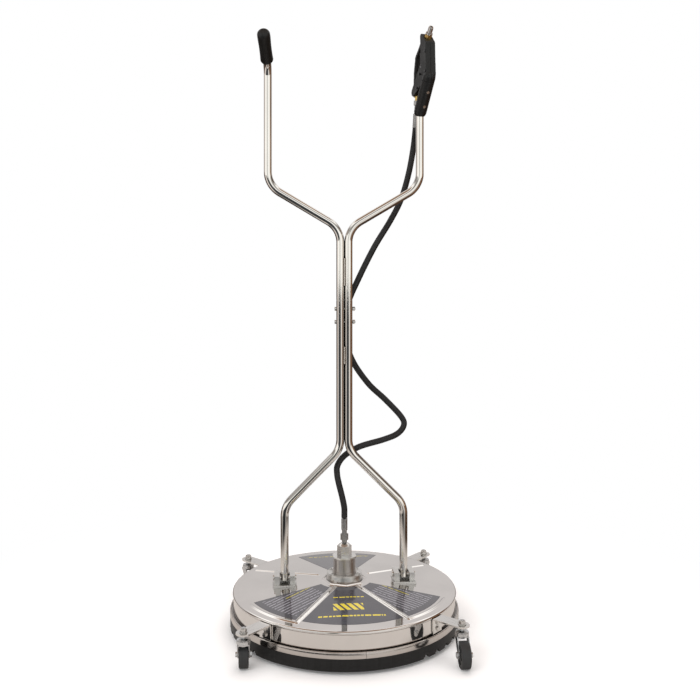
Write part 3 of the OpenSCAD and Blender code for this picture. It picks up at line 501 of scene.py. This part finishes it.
def rib_height(r, degrees):
    """Height of the pressed ribs and rim beads at a point of the dome."""
    best = 0.0
    for angle, start in RIB_START.items():
        off = math.radians(apart(degrees, angle))
        if abs(off) < RIB_REACH:
            along = r * math.cos(off)
            past = max(start - along, along - RIB_END, 0.0)
            best = max(best, bead(math.hypot(r * math.sin(off), past), RIB_HALF))
    for first, last in RIM_BEADS:
        past = max(first - degrees, degrees - last, 0.0)
        if past < RIM_BEAD_FADE:
            best = max(best, bead(math.hypot(r - RIB_END, r * math.radians(past)), RIM_BEAD_HALF))
    return RIB_H * best


def dome_height(r, degrees):
    """Outer face of the deck's top, with the hub's raised octagon."""
    slope = (SEAT_Z - RIM_Z + EDGE_LIFT) / (EDGE_R - SEAT_R)
    cone = SEAT_Z - slope * max(r - SEAT_R, 0.0)
    flat = r * math.cos(math.radians(degrees % PAD_SIDE - PAD_SIDE / 2))
    pad = FLANGE_Z - (FLANGE_Z - cone) * smooth((flat - RIDGE_OUT + 3 * MM) / PAD_FALL)
    ridge = RIDGE_H * bead(flat - (RIDGE_IN + RIDGE_OUT) / 2, (RIDGE_OUT - RIDGE_IN) / 2)
    return pad + ridge + rib_height(r, degrees)


def spaced(start, end, step):
    """Even places from start up to, but without, end."""
    count = max(1, round((end - start) / step))
    return [start + (end - start) * i / count for i in range(count)]


def deck_angles():
    """Columns round the deck, close together across each rib."""
    angles = set()
    for rib in RIB_START:
        for k in range(RIB_COLUMNS + 1):
            offset = RIB_SPREAD * (k / RIB_COLUMNS) ** RIB_CROWDING
            angles.update(((rib + offset) % 360, (rib - offset) % 360))
    for degree in range(360):
        if all(abs(apart(degree, rib)) > RIB_SPREAD for rib in RIB_START):
            angles.add(float(degree))
    return sorted(angles)


def deck_radii():
    """Rows of the dome from the hub's hole to its edge."""
    return [r for (start, step), (end, _) in zip(ROW_ZONES, ROW_ZONES[1:]) for r in spaced(start, end, step)]


def deck():
    """The pressed deck: dome, rolled rim and side wall, one sheet thick."""
    angles = deck_angles()
    radii = deck_radii()
    rings = [[(r, dome_height(r, a)) for a in angles] for r in radii]
    roll = arc((DECK_R - ROLL_R, RIM_Z - ROLL_R), ROLL_R, *ROLL_SPAN, 18)
    wall = [(WALL_R, WALL_TOP - 0.1 * MM), (WALL_R, WALL_TOP - 5 * MM)]
    wall += [(WALL_R, z) for z in spaced(WALL_TOP - 15 * MM, WALL_BOTTOM, -9 * MM)]
    wall += [(WALL_R, WALL_BOTTOM + 0.3 * MM), (WALL_R - 0.3 * MM, WALL_BOTTOM)]
    inner = [(WALL_R - SHEET_T, WALL_BOTTOM), (WALL_R - SHEET_T, WALL_TOP)]
    rings += [[point] * len(angles) for point in roll + wall + inner]
    rings += [[(r, dome_height(r, a) - SHEET_T) for a in angles] for r in reversed(radii)]
    verts = [polar(r, a, z) for ring in rings for a, (r, z) in zip(angles, ring)]
    faces = grid_faces(len(rings), len(angles), closed=True)
    return make_piece("deck_pressing", verts, faces, "deck", MIRROR, ["deck_shell"])


# ---- skirt and its band ----

BAND_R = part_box("rim_band")[1].x
BAND_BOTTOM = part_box("rim_band")[0].z
BAND_TOP = BAND_BOTTOM + 13.5 * MM
BAND_T = 1.2 * MM
BAND_BEAD_R = 2.2 * MM
BAND_EASE = 0.3 * MM
BAND_FIT = 0.1 * MM
BAND_OVERLAP = 2 * MM
SEAM_ANGLE = -85.2
SEAM_HALF = 0.06

BRISTLE_COLUMNS = 1440
NOTCH_FIRST, NOTCH_GAP, NOTCHES = -54, 8, 35
NOTCH_HALF, STEP_HALF = 4 * MM, 9 * MM
NOTCH_H, STEP_H = 9 * MM, 4 * MM
BRISTLE_RAGGED = 0.35 * MM
BRISTLE_RIDGE = 0.2 * MM
BRUSH_GAP = 0.5 * MM


def rim_band():
    """The band round the skirt, with a rolled bead on top and an open seam at the front."""
    inside = WALL_R + BAND_FIT
    profile = [(inside, WALL_BOTTOM + BAND_OVERLAP), (inside, BAND_TOP - 0.2 * MM)]
    profile += [(BAND_R - 6 * MM, BAND_TOP)]
    profile += arc((BAND_R - 2.4 * MM, BAND_TOP + 0.6 * MM), BAND_BEAD_R, 196, -20, 14)
    profile += [(BAND_R, BAND_TOP - 0.9 * MM), (BAND_R, BAND_BOTTOM + BAND_EASE)]
    profile += [(BAND_R - BAND_EASE, BAND_BOTTOM)]
    profile += [(BAND_R - BAND_T, BAND_BOTTOM), (BAND_R - BAND_T, BAND_TOP - BAND_T)]
    profile += [(WALL_R + BAND_T, BAND_TOP - BAND_T), (WALL_R + BAND_T, WALL_BOTTOM + BAND_OVERLAP)]
    sides = 360
    angles = [SEAM_ANGLE + SEAM_HALF + (360 - 2 * SEAM_HALF) * j / sides for j in range(sides + 1)]
    verts = [polar(r, a, z) for a in angles for r, z in profile]
    faces = grid_faces(len(angles), len(profile))
    faces.append(tuple(range(len(profile))))
    last = sides * len(profile)
    faces.append(tuple(reversed(range(last, last + len(profile)))))
    return make_piece("skirt_band", verts, faces, "deck", BAND, ["rim_band"])


def skirt_edge(degrees):
    """How far the skirt's lower edge is cut up at an angle: a deep notch inside a shallow step."""
    nearest = min(abs(apart(degrees, NOTCH_FIRST + NOTCH_GAP * k)) for k in range(NOTCHES))
    across = math.radians(nearest) * WALL_R
    return NOTCH_H if across < NOTCH_HALF else STEP_H if across < STEP_HALF else 0.0


def skirt():
    """The brush skirt: close upright ridges of bristle with a stepped lower edge, plain at the front."""
    low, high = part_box("skirt_brush")
    top = BAND_BOTTOM - 0.1 * MM
    neck_out, neck_in = BAND_R - BAND_T - BRUSH_GAP, WALL_R + BAND_T + BRUSH_GAP
    neck = [(neck_out, top), (neck_out, high.z), (neck_in, high.z), (neck_in, top)]
    verts = []
    for j in range(BRISTLE_COLUMNS):
        degrees = 360 * j / BRISTLE_COLUMNS
        ragged = 0.5 + 0.5 * math.sin(j * 2.4) * math.cos(j * 0.731)
        bottom = low.z + skirt_edge(degrees) + BRISTLE_RAGGED * ragged
        ridge = (BRISTLE_RIDGE if j % 2 else 0.0) * (0.6 + 0.4 * math.sin(j * 1.7))
        outer, inner = high.x - ridge - 0.1 * MM, WALL_R + 0.7 * MM + ridge / 2
        profile = [(outer - 0.4 * MM, bottom), (outer, bottom + 0.8 * MM)]
        profile += [(outer, (bottom + top) / 2), (outer, top)]
        profile += neck + [(inner, top), (inner, bottom + 0.8 * MM), (inner + 0.4 * MM, bottom)]
        verts += [polar(r, degrees, z) for r, z in profile]
    faces = grid_faces(BRISTLE_COLUMNS, len(profile), closed=True)
    return make_piece("brush_skirt", verts, faces, "deck", SKIRT, ["skirt_brush"])


# ---- handle tubes ----

TUBE_R = 11.1 * MM
TUBE_WALL = 2 * MM
TUBE_EASE = 0.5 * MM
TUBE_SIDES = 48
BORE_DEPTH = 60 * MM
BEND_R = 67 * MM
LEG_BEND_Z = 326 * MM
SPLIT_BEND_Z = 1087 * MM
LOWER_TURN = math.radians(45)
UPPER_TURN = math.radians(59.5)
LEFT_BEND_Z = 1498 * MM
LEFT_TURN = math.radians(66)
LEFT_TOE = math.radians(-5)
HAND_BEND_R = 45 * MM
GUN_Z = 1398 * MM
GUN_TURN = math.radians(35)
GUN_TOE = math.radians(14)
GUN_TUBE_END = 55 * MM
BAR_X = 210 * MM
JOINT_GAP = 0.1 * MM
PATH_STEP = 3 * MM
GRIP_LEN = 120 * MM
GRIP_R = 17.5 * MM
GRIP_END = 6 * MM
GRIP_BORE_R = TUBE_R + 0.1 * MM
GRIP_BORE = 12 * MM
GRIP_DOME_R = 12.5 * MM
GRIP_WAIST = 0.7 * MM
GRIP_FLARE = 0.35 * MM


def tube(name, corners, bends, stands_for, open_start=False):
    """A bent tube with eased ends; an open start shows its bore."""
    path = rounded_path(corners, bends, PATH_STEP)
    rings = [(p, ahead, TUBE_R) for p, ahead in zip(path, directions(path))]
    first, final = rings[0][1], rings[-1][1]
    lip = TUBE_R - TUBE_EASE
    rings[:1] = [(path[0], first, lip), (path[0] + first * TUBE_EASE, first, TUBE_R)]
    rings[-1:] = [(path[-1] - final * TUBE_EASE, final, TUBE_R), (path[-1], final, lip)]
    if open_start:
        bore = TUBE_R - TUBE_WALL
        rings[:0] = [(path[0] + first * BORE_DEPTH, first, bore), (path[0], first, bore)]
    verts, faces, uvs = sweep(rings, TUBE_SIDES)
    return make_piece(name, verts, faces, "handle", TUBE, stands_for, uvs)


def hand_end(x, z, turn, toe, straight):
    """Corner and end of the bend that carries a hand piece, with the direction it points in."""
    ahead = Vector((math.sin(turn) * math.sin(toe), -math.sin(turn) * math.cos(toe), math.cos(turn)))
    back = HAND_BEND_R * math.tan(turn / 2)
    corner = Vector((x, 0, z + back))
    return corner, corner + ahead * (back + straight), ahead


def handle_tubes():
    """Two bent lower legs and two bent upper bars, side by side along the middle of the handle."""
    low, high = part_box("lower_tube_left")
    pair_x = TUBE_R - high.x
    leg_x = -low.x - TUBE_R
    pair_z = LEG_BEND_Z + (leg_x - pair_x) / math.tan(LOWER_TURN)
    bar_z = SPLIT_BEND_Z + (BAR_X - pair_x) / math.tan(UPPER_TURN)
    left_end = hand_end(-BAR_X, LEFT_BEND_Z, LEFT_TURN, LEFT_TOE, GRIP_LEN - GRIP_END)
    right_end = hand_end(BAR_X, GUN_Z, GUN_TURN, GUN_TOE, GUN_TUBE_END)
    for side, word, (corner, end, _) in ((-1, "left", left_end), (1, "right", right_end)):
        legs = [(leg_x, low.z), (leg_x, LEG_BEND_Z), (pair_x, pair_z), (pair_x, high.z)]
        legs = [Vector((side * x, 0, z)) for x, z in legs]
        tube("leg_tube_" + word, legs, (BEND_R, BEND_R), ["lower_tube_" + word], open_start=True)
        bars = [(pair_x, high.z + JOINT_GAP), (pair_x, SPLIT_BEND_Z), (BAR_X, bar_z)]
        bars = [Vector((side * x, 0, z)) for x, z in bars] + [corner, end]
        tube("bar_tube_" + word, bars, (BEND_R, BEND_R, HAND_BEND_R), ["upper_tube_" + word])


def hand_grip():
    """The left grip: a flared base, a slight waist and a domed end with a shallow dimple."""
    _, end, ahead = hand_end(-BAR_X, LEFT_BEND_Z, LEFT_TURN, LEFT_TOE, 0)
    profile = [(GRIP_BORE_R, GRIP_BORE), (GRIP_BORE_R, 0.4 * MM), (TUBE_R + 0.5 * MM, 0)]
    profile += arc((GRIP_R - 5.5 * MM, 6.2 * MM), 5.5 * MM, -75, 20, 10)
    for t in (k / 24 for k in range(1, 24)):
        waist = GRIP_WAIST * math.sin(math.pi * min(t * 1.15, 1)) + GRIP_FLARE * smooth(t * 8)
        profile.append((GRIP_R - waist, 8 * MM + (GRIP_LEN - 21 * MM) * t))
    dome = GRIP_R - 13 * MM
    profile += arc((dome, GRIP_LEN - GRIP_DOME_R), GRIP_DOME_R, 4, 78, 16)
    profile += [(dome + (2.2 - k * 0.66) * MM, GRIP_LEN - (0.25 - k * 0.02) * MM) for k in range(10)]
    profile.append((0.02 * MM, GRIP_LEN - 0.05 * MM))
    sides = 96
    verts = lathe(profile, end, ahead, sides)
    faces = grid_faces(len(profile), sides)
    faces.append(tuple(range(sides)))
    last = (len(profile) - 1) * sides
    faces.append(tuple(reversed(range(last, last + sides))))
    return make_piece("hand_grip", verts, faces, "handle", GRIP, ["left_grip"])


# ---- hose ----

HOSE_R = 8.4 * MM
HOSE_SIDES = 32
HOSE_STEPS = 8
# Points that the hose is laid through, in millimetres: up, out in a loop, and on behind the tubes
HOSE_LAID = (
    (-6.3, 1, 349), (-14.2, 6, 381), (-19, 13, 407), (-17, 21, 431), (4, 27, 457),
    (46, 30, 480), (116, 44, 496), (157, 56, 510), (176, 66, 533), (166, 70, 558), (121, 62, 606),
    (71, 48, 654), (24, 34, 723), (2, 28, 799), (12, 28, 877), (41, 30, 946), (87, 38, 1036),
    (133, 46, 1110), (165, 50, 1172), (186, 48, 1243))
HOSE_AT_GUN = ((-46 * MM, -84 * MM), (-31 * MM, -35 * MM), (-29.8 * MM, -26 * MM))


def gun_place(s, h):
    """A point of the gun's own plane: s runs towards the operator and h up from its bend."""
    return Vector((BAR_X + s * math.sin(GUN_TOE), -s * math.cos(GUN_TOE), GUN_Z + h))


def hose():
    """One hose from the swivel to the gun. It bends between the deck and the handle."""
    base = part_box("hose_lower")[0].z / MM
    start = ((0, 0, base + 2), (0, 0, base + 9), (-0.5, 0, base + 30))
    points = [Vector(p) * MM for p in start + HOSE_LAID] + [gun_place(s, h) for s, h in HOSE_AT_GUN]
    path = spline(points, HOSE_STEPS)
    rings = [(p, ahead, HOSE_R) for p, ahead in zip(path, directions(path))]
    verts, faces, uvs = sweep(rings, HOSE_SIDES)
    piece = make_piece("pressure_hose", verts, faces, None, HOSE, ["hose_lower", "hose_upper"], uvs)
    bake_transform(piece)
    return piece


# ---- moulded pieces, softened from the CAD solids ----

def moulded_copy(node, name, voxel, passes, body, look):
    """A copy of a CAD node with its edges rounded off, as a moulding has them."""
    obj = bpy.data.objects.new(name, frame["nodes"][node].data.copy())
    bpy.context.scene.collection.objects.link(obj)
    obj.modifiers.new("weld", "WELD").merge_threshold = WELD_GAP
    remesh = obj.modifiers.new("remesh", "REMESH")
    remesh.mode = "VOXEL"
    remesh.voxel_size = voxel
    soften = obj.modifiers.new("soften", "SMOOTH")
    soften.factor = 0.5
    soften.iterations = passes
    bpy.context.view_layer.update()
    evaluated = obj.evaluated_get(bpy.context.evaluated_depsgraph_get())
    mesh = bpy.data.meshes.new_from_object(evaluated)
    obj.modifiers.clear()
    obj.data = mesh
    return dress(obj, body, look, [node])


def gun():
    """The gun's moulded shells and its trigger."""
    for node in ("gun_shell_left", "gun_shell_right", "gun_clamp_cover"):
        moulded_copy(node, node + "_moulding", 0.8 * MM, 5, "handle", PLASTIC)
    moulded_copy("trigger", "trigger_moulding", 0.6 * MM, 5, "trigger", PLASTIC)


# ---- materials ----

CLAMP_TOP_Z = 1460 * MM
MIRROR = polished("mirror_steel", (0.80, 0.775, 0.755), 0.05)
BAND = polished("band_steel", (0.62, 0.585, 0.56), 0.13)
TUBE = polished("tube_steel", (0.78, 0.755, 0.72), 0.06, use_uv=True)
SKIRT = bristle("skirt_bristle")
GRIP = moulded("grip_rubber", (0.006, 0.0065, 0.0065), 0.5)
PLASTIC = moulded("gun_plastic", (0.008, 0.0085, 0.009), 0.45)
HOSE = hose_rubber("hose_rubber")
LOOKS = {
    "mirror_steel": MIRROR,
    "bright_steel": polished("bright_steel", (0.80, 0.79, 0.77), 0.09),
    "tube_steel": polished("inner_steel", (0.72, 0.71, 0.70), 0.2),
    "zinc_steel": plated("zinc_plate", (0.66, 0.67, 0.68), 0.22),
    "fastener_steel": plated("fastener_steel", (0.74, 0.73, 0.71), 0.18),
    "cast_alloy": satin("cast_alloy", (0.72, 0.715, 0.70), 0.30),
    "turned_alloy": turned("turned_alloy", (0.55, 0.52, 0.50), 0.3),
    "brass": turned("brass", (0.78, 0.56, 0.20), 0.2),
    "crimp_steel": plated("crimp_steel", (0.42, 0.42, 0.42), 0.3),
    "weld": satin("weld_bead", (0.62, 0.57, 0.52), 0.3, 500, 0.0006),
    "skirt": SKIRT,
    "label": printed_label("label_film"),
    "wheel": moulded("wheel_rubber", (0.030, 0.031, 0.033), 0.5),
    "grip": GRIP,
    "gun_plastic": PLASTIC,
    "hose": HOSE,
    "seal": moulded("seal_rubber", (0.02, 0.02, 0.02), 0.5),
    "button_plastic": moulded("button_plastic", (0.012, 0.012, 0.013), 0.3),
}


def screw_steel():
    """Bright clamp screws at the foot of the gun, and blackened ones along its shells."""
    g = Graph(plated("screw_steel", (0.74, 0.73, 0.71), 0.18))
    height = g.add("ShaderNodeSeparateXYZ", {0: g.place()}).outputs[2]
    g.set(colour=g.mix(g.maths("GREATER_THAN", height, CLAMP_TOP_Z), (0.80, 0.80, 0.79), (0.05, 0.05, 0.052)))
    return g.owner


NODE_LOOKS = {
    "swivel_cap": satin("cap_alloy", (0.86, 0.855, 0.84), 0.26),
    "inlet_coupling": turned("coupling_steel", (0.74, 0.73, 0.71), 0.2),
    "gun_screws": screw_steel(),
    "trigger_pin": plated("blackened_steel", (0.06, 0.06, 0.062), 0.35),
}


def dress_frame():
    """Gives every CAD node the look of its slot in the record, or one of its own."""
    for part in frame["record"]["subparts"]:
        node = frame["nodes"][part["node"]]
        node.data.materials.clear()
        node.data.materials.append(NODE_LOOKS.get(part["node"], LOOKS[part["material_slot"]]))
        node.data.polygons.foreach_set("use_smooth", [True] * len(node.data.polygons))


def ease_edges():
    """Breaks the sharp edges of every CAD node that stays in view."""
    for node in frame["nodes"].values():
        if not node.hide_render:
            node.modifiers.new("weld", "WELD").merge_threshold = WELD_GAP
            bevel = node.modifiers.new("edges", "BEVEL")
            bevel.width = EDGE_WIDTH
            bevel.segments = 2
            bevel.angle_limit = EDGE_ANGLE
            node.modifiers.new("shading", "WEIGHTED_NORMAL")


# ---- build ----

dress_frame()
deck()
rim_band()
skirt()
handle_tubes()
hand_grip()
hose()
gun()
ease_edges()


# ---- stage ----

# Tones round the studio, by bearing: 0.5 is towards the operator and 0 and 1 are behind the object
ROOM_TONES = (
    (0.00, (0.10, 0.09, 0.09)), (0.17, (0.08, 0.065, 0.06)), (0.21, (0.26, 0.19, 0.15)),
    (0.235, (1.2, 1.14, 1.08)), (0.35, (1.3, 1.3, 1.27)), (0.435, (1.15, 1.15, 1.1)),
    (0.452, (0.14, 0.16, 0.13)), (0.464, (0.14, 0.16, 0.13)), (0.48, (1.2, 1.2, 1.18)),
    (0.62, (1.3, 1.3, 1.25)), (0.67, (1.0, 0.96, 0.88)), (0.695, (0.30, 0.17, 0.09)),
    (0.80, (0.22, 0.12, 0.07)), (0.88, (0.09, 0.08, 0.07)), (1.00, (0.10, 0.09, 0.09)))
# Tones that the floor glows with in the steel, away from the object, by bearing: painted light and shade of
# the studio
FLOOR_GLOW_TONES = (
    (0.00, (0.06, 0.055, 0.05)), (0.19, (0.09, 0.065, 0.05)), (0.235, (0.30, 0.22, 0.18)),
    (0.255, (0.95, 0.86, 0.80)), (0.32, (0.9, 0.86, 0.82)), (0.35, (0.12, 0.12, 0.12)),
    (0.40, (0.05, 0.055, 0.06)), (0.49, (0.06, 0.065, 0.07)), (0.52, (0.10, 0.10, 0.10)),
    (0.54, (0.95, 0.93, 0.90)), (0.60, (0.95, 0.91, 0.86)), (0.63, (0.20, 0.16, 0.13)),
    (0.70, (0.26, 0.14, 0.08)), (0.82, (0.12, 0.07, 0.045)), (1.00, (0.06, 0.055, 0.05)))
# Tones overhead, by height: 0.5 is level with the object and 1 straight up
SKY_TONES = (
    (0.00, (0.75, 0.74, 0.72)), (0.60, (0.66, 0.635, 0.625)), (0.76, (0.72, 0.69, 0.68)),
    (0.82, (1.3, 1.28, 1.25)), (0.88, (1.35, 1.33, 1.3)), (0.91, (0.40, 0.27, 0.19)),
    (1.00, (0.30, 0.20, 0.14)))
GROUND_TONE = (0.05, 0.04, 0.035)
FLOOR_HALF = 30
FLOOR_DARK, FLOOR_PALE = (0.63, 0.61, 0.59), (0.67, 0.65, 0.63)
FLOOR_SEEN = (0.93, 0.935, 0.95)
FLOOR_LIFT = 0.12
CAMERA_TURN = math.radians(5)
CAMERA_PLACE = (-0.2095, -2.3949, 0.980)
CAMERA_LENS = 44.9
CAMERA_SHIFT = (0.008, -0.118)


def studio_world():
    """White to the camera; to the object, a studio of soft boxes with a dark room behind the camera."""
    world = bpy.data.worlds.new("studio")
    bpy.context.scene.world = world
    g = Graph(world)
    g.tree.nodes.clear()
    way = g.add("ShaderNodeSeparateXYZ", {0: g.add("ShaderNodeTexCoord").outputs["Generated"]})
    x, y, z = way.outputs
    level = g.colours(g.bearing(x, y), ROOM_TONES)
    above = g.colours(g.maths("ADD", g.maths("MULTIPLY", z, 0.5), 0.5), SKY_TONES)
    operator = g.ramp(y, 1, 0, 0.3, 0.6)
    low = g.mix(g.ramp(z, 0, 1, 0.26, 0.34), level, g.mix(0.7, level, GROUND_TONE))
    near = g.maths("MULTIPLY", operator, g.ramp(z, 0, 1, 0.50, 0.72))
    behind = g.maths("MULTIPLY", g.maths("SUBTRACT", 1.0, operator), g.ramp(z, 0, 1, 0.02, 0.12))
    colour = g.mix(g.maths("ADD", near, behind), low, above)
    studio = g.add("ShaderNodeBackground", {"Color": colour, "Strength": 1.0})
    plain = g.add("ShaderNodeBackground", {"Color": (1, 1, 1, 1), "Strength": 1.0})
    seen = g.add("ShaderNodeLightPath").outputs["Is Camera Ray"]
    mixed = g.add("ShaderNodeMixShader", {0: seen, 1: studio, 2: plain})
    g.add("ShaderNodeOutputWorld", {0: mixed})


def floor():
    """A wide pale floor. In the steel it turns, away from the object, into a painted glow in the studio's own
    tones, with painted shade dimming it nearer the object.
    """
    corners = [(x * FLOOR_HALF, y * FLOOR_HALF, 0) for x, y in ((-1, -1), (1, -1), (1, 1), (-1, 1))]
    mesh = bpy.data.meshes.new("floor")
    mesh.from_pydata(corners, [], [(0, 1, 2, 3)])
    obj = bpy.data.objects.new("floor", mesh)
    bpy.context.scene.collection.objects.link(obj)
    g = material("floor")
    mesh.materials.append(g.owner)
    output = g.tree.nodes["Material Output"]
    place = g.add("ShaderNodeSeparateXYZ", {0: g.place()})
    square = [g.maths("MULTIPLY", c, c) for c in place.outputs[:2]]
    away = g.maths("SQRT", g.maths("ADD", *square))
    near = g.add("ShaderNodeBsdfDiffuse", {0: g.mix(g.noise(3), FLOOR_DARK, FLOOR_PALE)})
    # Painted light and shade: in the steel the floor glows with studio tones, dimmer nearer the object
    far = g.add("ShaderNodeEmission", {0: g.colours(g.bearing(*place.outputs[:2]), FLOOR_GLOW_TONES),
                                       1: g.ramp(away, 0.35, 1.0, 0.9, 1.8)})
    dull = g.add("ShaderNodeMixShader", {0: g.ramp(away, 0, 1, 0.65, 0.95), 1: near, 2: far})
    pale = g.add("ShaderNodeBsdfDiffuse", {0: opaque(FLOOR_SEEN)})
    lift = g.add("ShaderNodeEmission", {0: (1, 1, 1, 1), 1: FLOOR_LIFT})
    white = g.add("ShaderNodeEmission", {0: (1, 1, 1, 1), 1: 1.0})
    shown = g.add("ShaderNodeMixShader", {0: g.ramp(away, 0, 1, 0.5, 1.3),
                                          1: g.add("ShaderNodeAddShader", {0: pale, 1: lift}), 2: white})
    seen = g.add("ShaderNodeLightPath").outputs["Is Camera Ray"]
    g.feed(output.inputs[0], g.add("ShaderNodeMixShader", {0: seen, 1: dull, 2: shown}))


def soft_light(name, place, target, size, power):
    """A soft box that lights the object without showing in its steel."""
    data = bpy.data.lights.new(name, "AREA")
    data.shape = "RECTANGLE"
    data.size, data.size_y = size
    data.energy = power
    obj = bpy.data.objects.new(name, data)
    obj.location = place
    obj.rotation_euler = (Vector(target) - Vector(place)).to_track_quat("-Z", "Y").to_euler()
    obj.visible_glossy = False
    bpy.context.scene.collection.objects.link(obj)


def camera():
    """A level camera with its picture shifted down, as the photograph was taken."""
    data = bpy.data.cameras.new("camera")
    data.lens = CAMERA_LENS
    data.sensor_width = 36
    data.shift_x, data.shift_y = CAMERA_SHIFT
    obj = bpy.data.objects.new("camera", data)
    obj.location = CAMERA_PLACE
    ahead = Vector((math.sin(CAMERA_TURN), math.cos(CAMERA_TURN), 0))
    obj.rotation_euler = ahead.to_track_quat("-Z", "Y").to_euler()
    bpy.context.scene.collection.objects.link(obj)
    bpy.context.scene.camera = obj


studio_world()
floor()
middle = (cad_box[0] + cad_box[1]) / 2
soft_light("key", (-1.6, -2.2, 2.6), middle, (1.6, 1.6), 35)
soft_light("top", (0.3, 0.4, 3.4), middle, (2.4, 2.4), 45)
camera()
bpy.context.scene.view_settings.view_transform = "Standard"
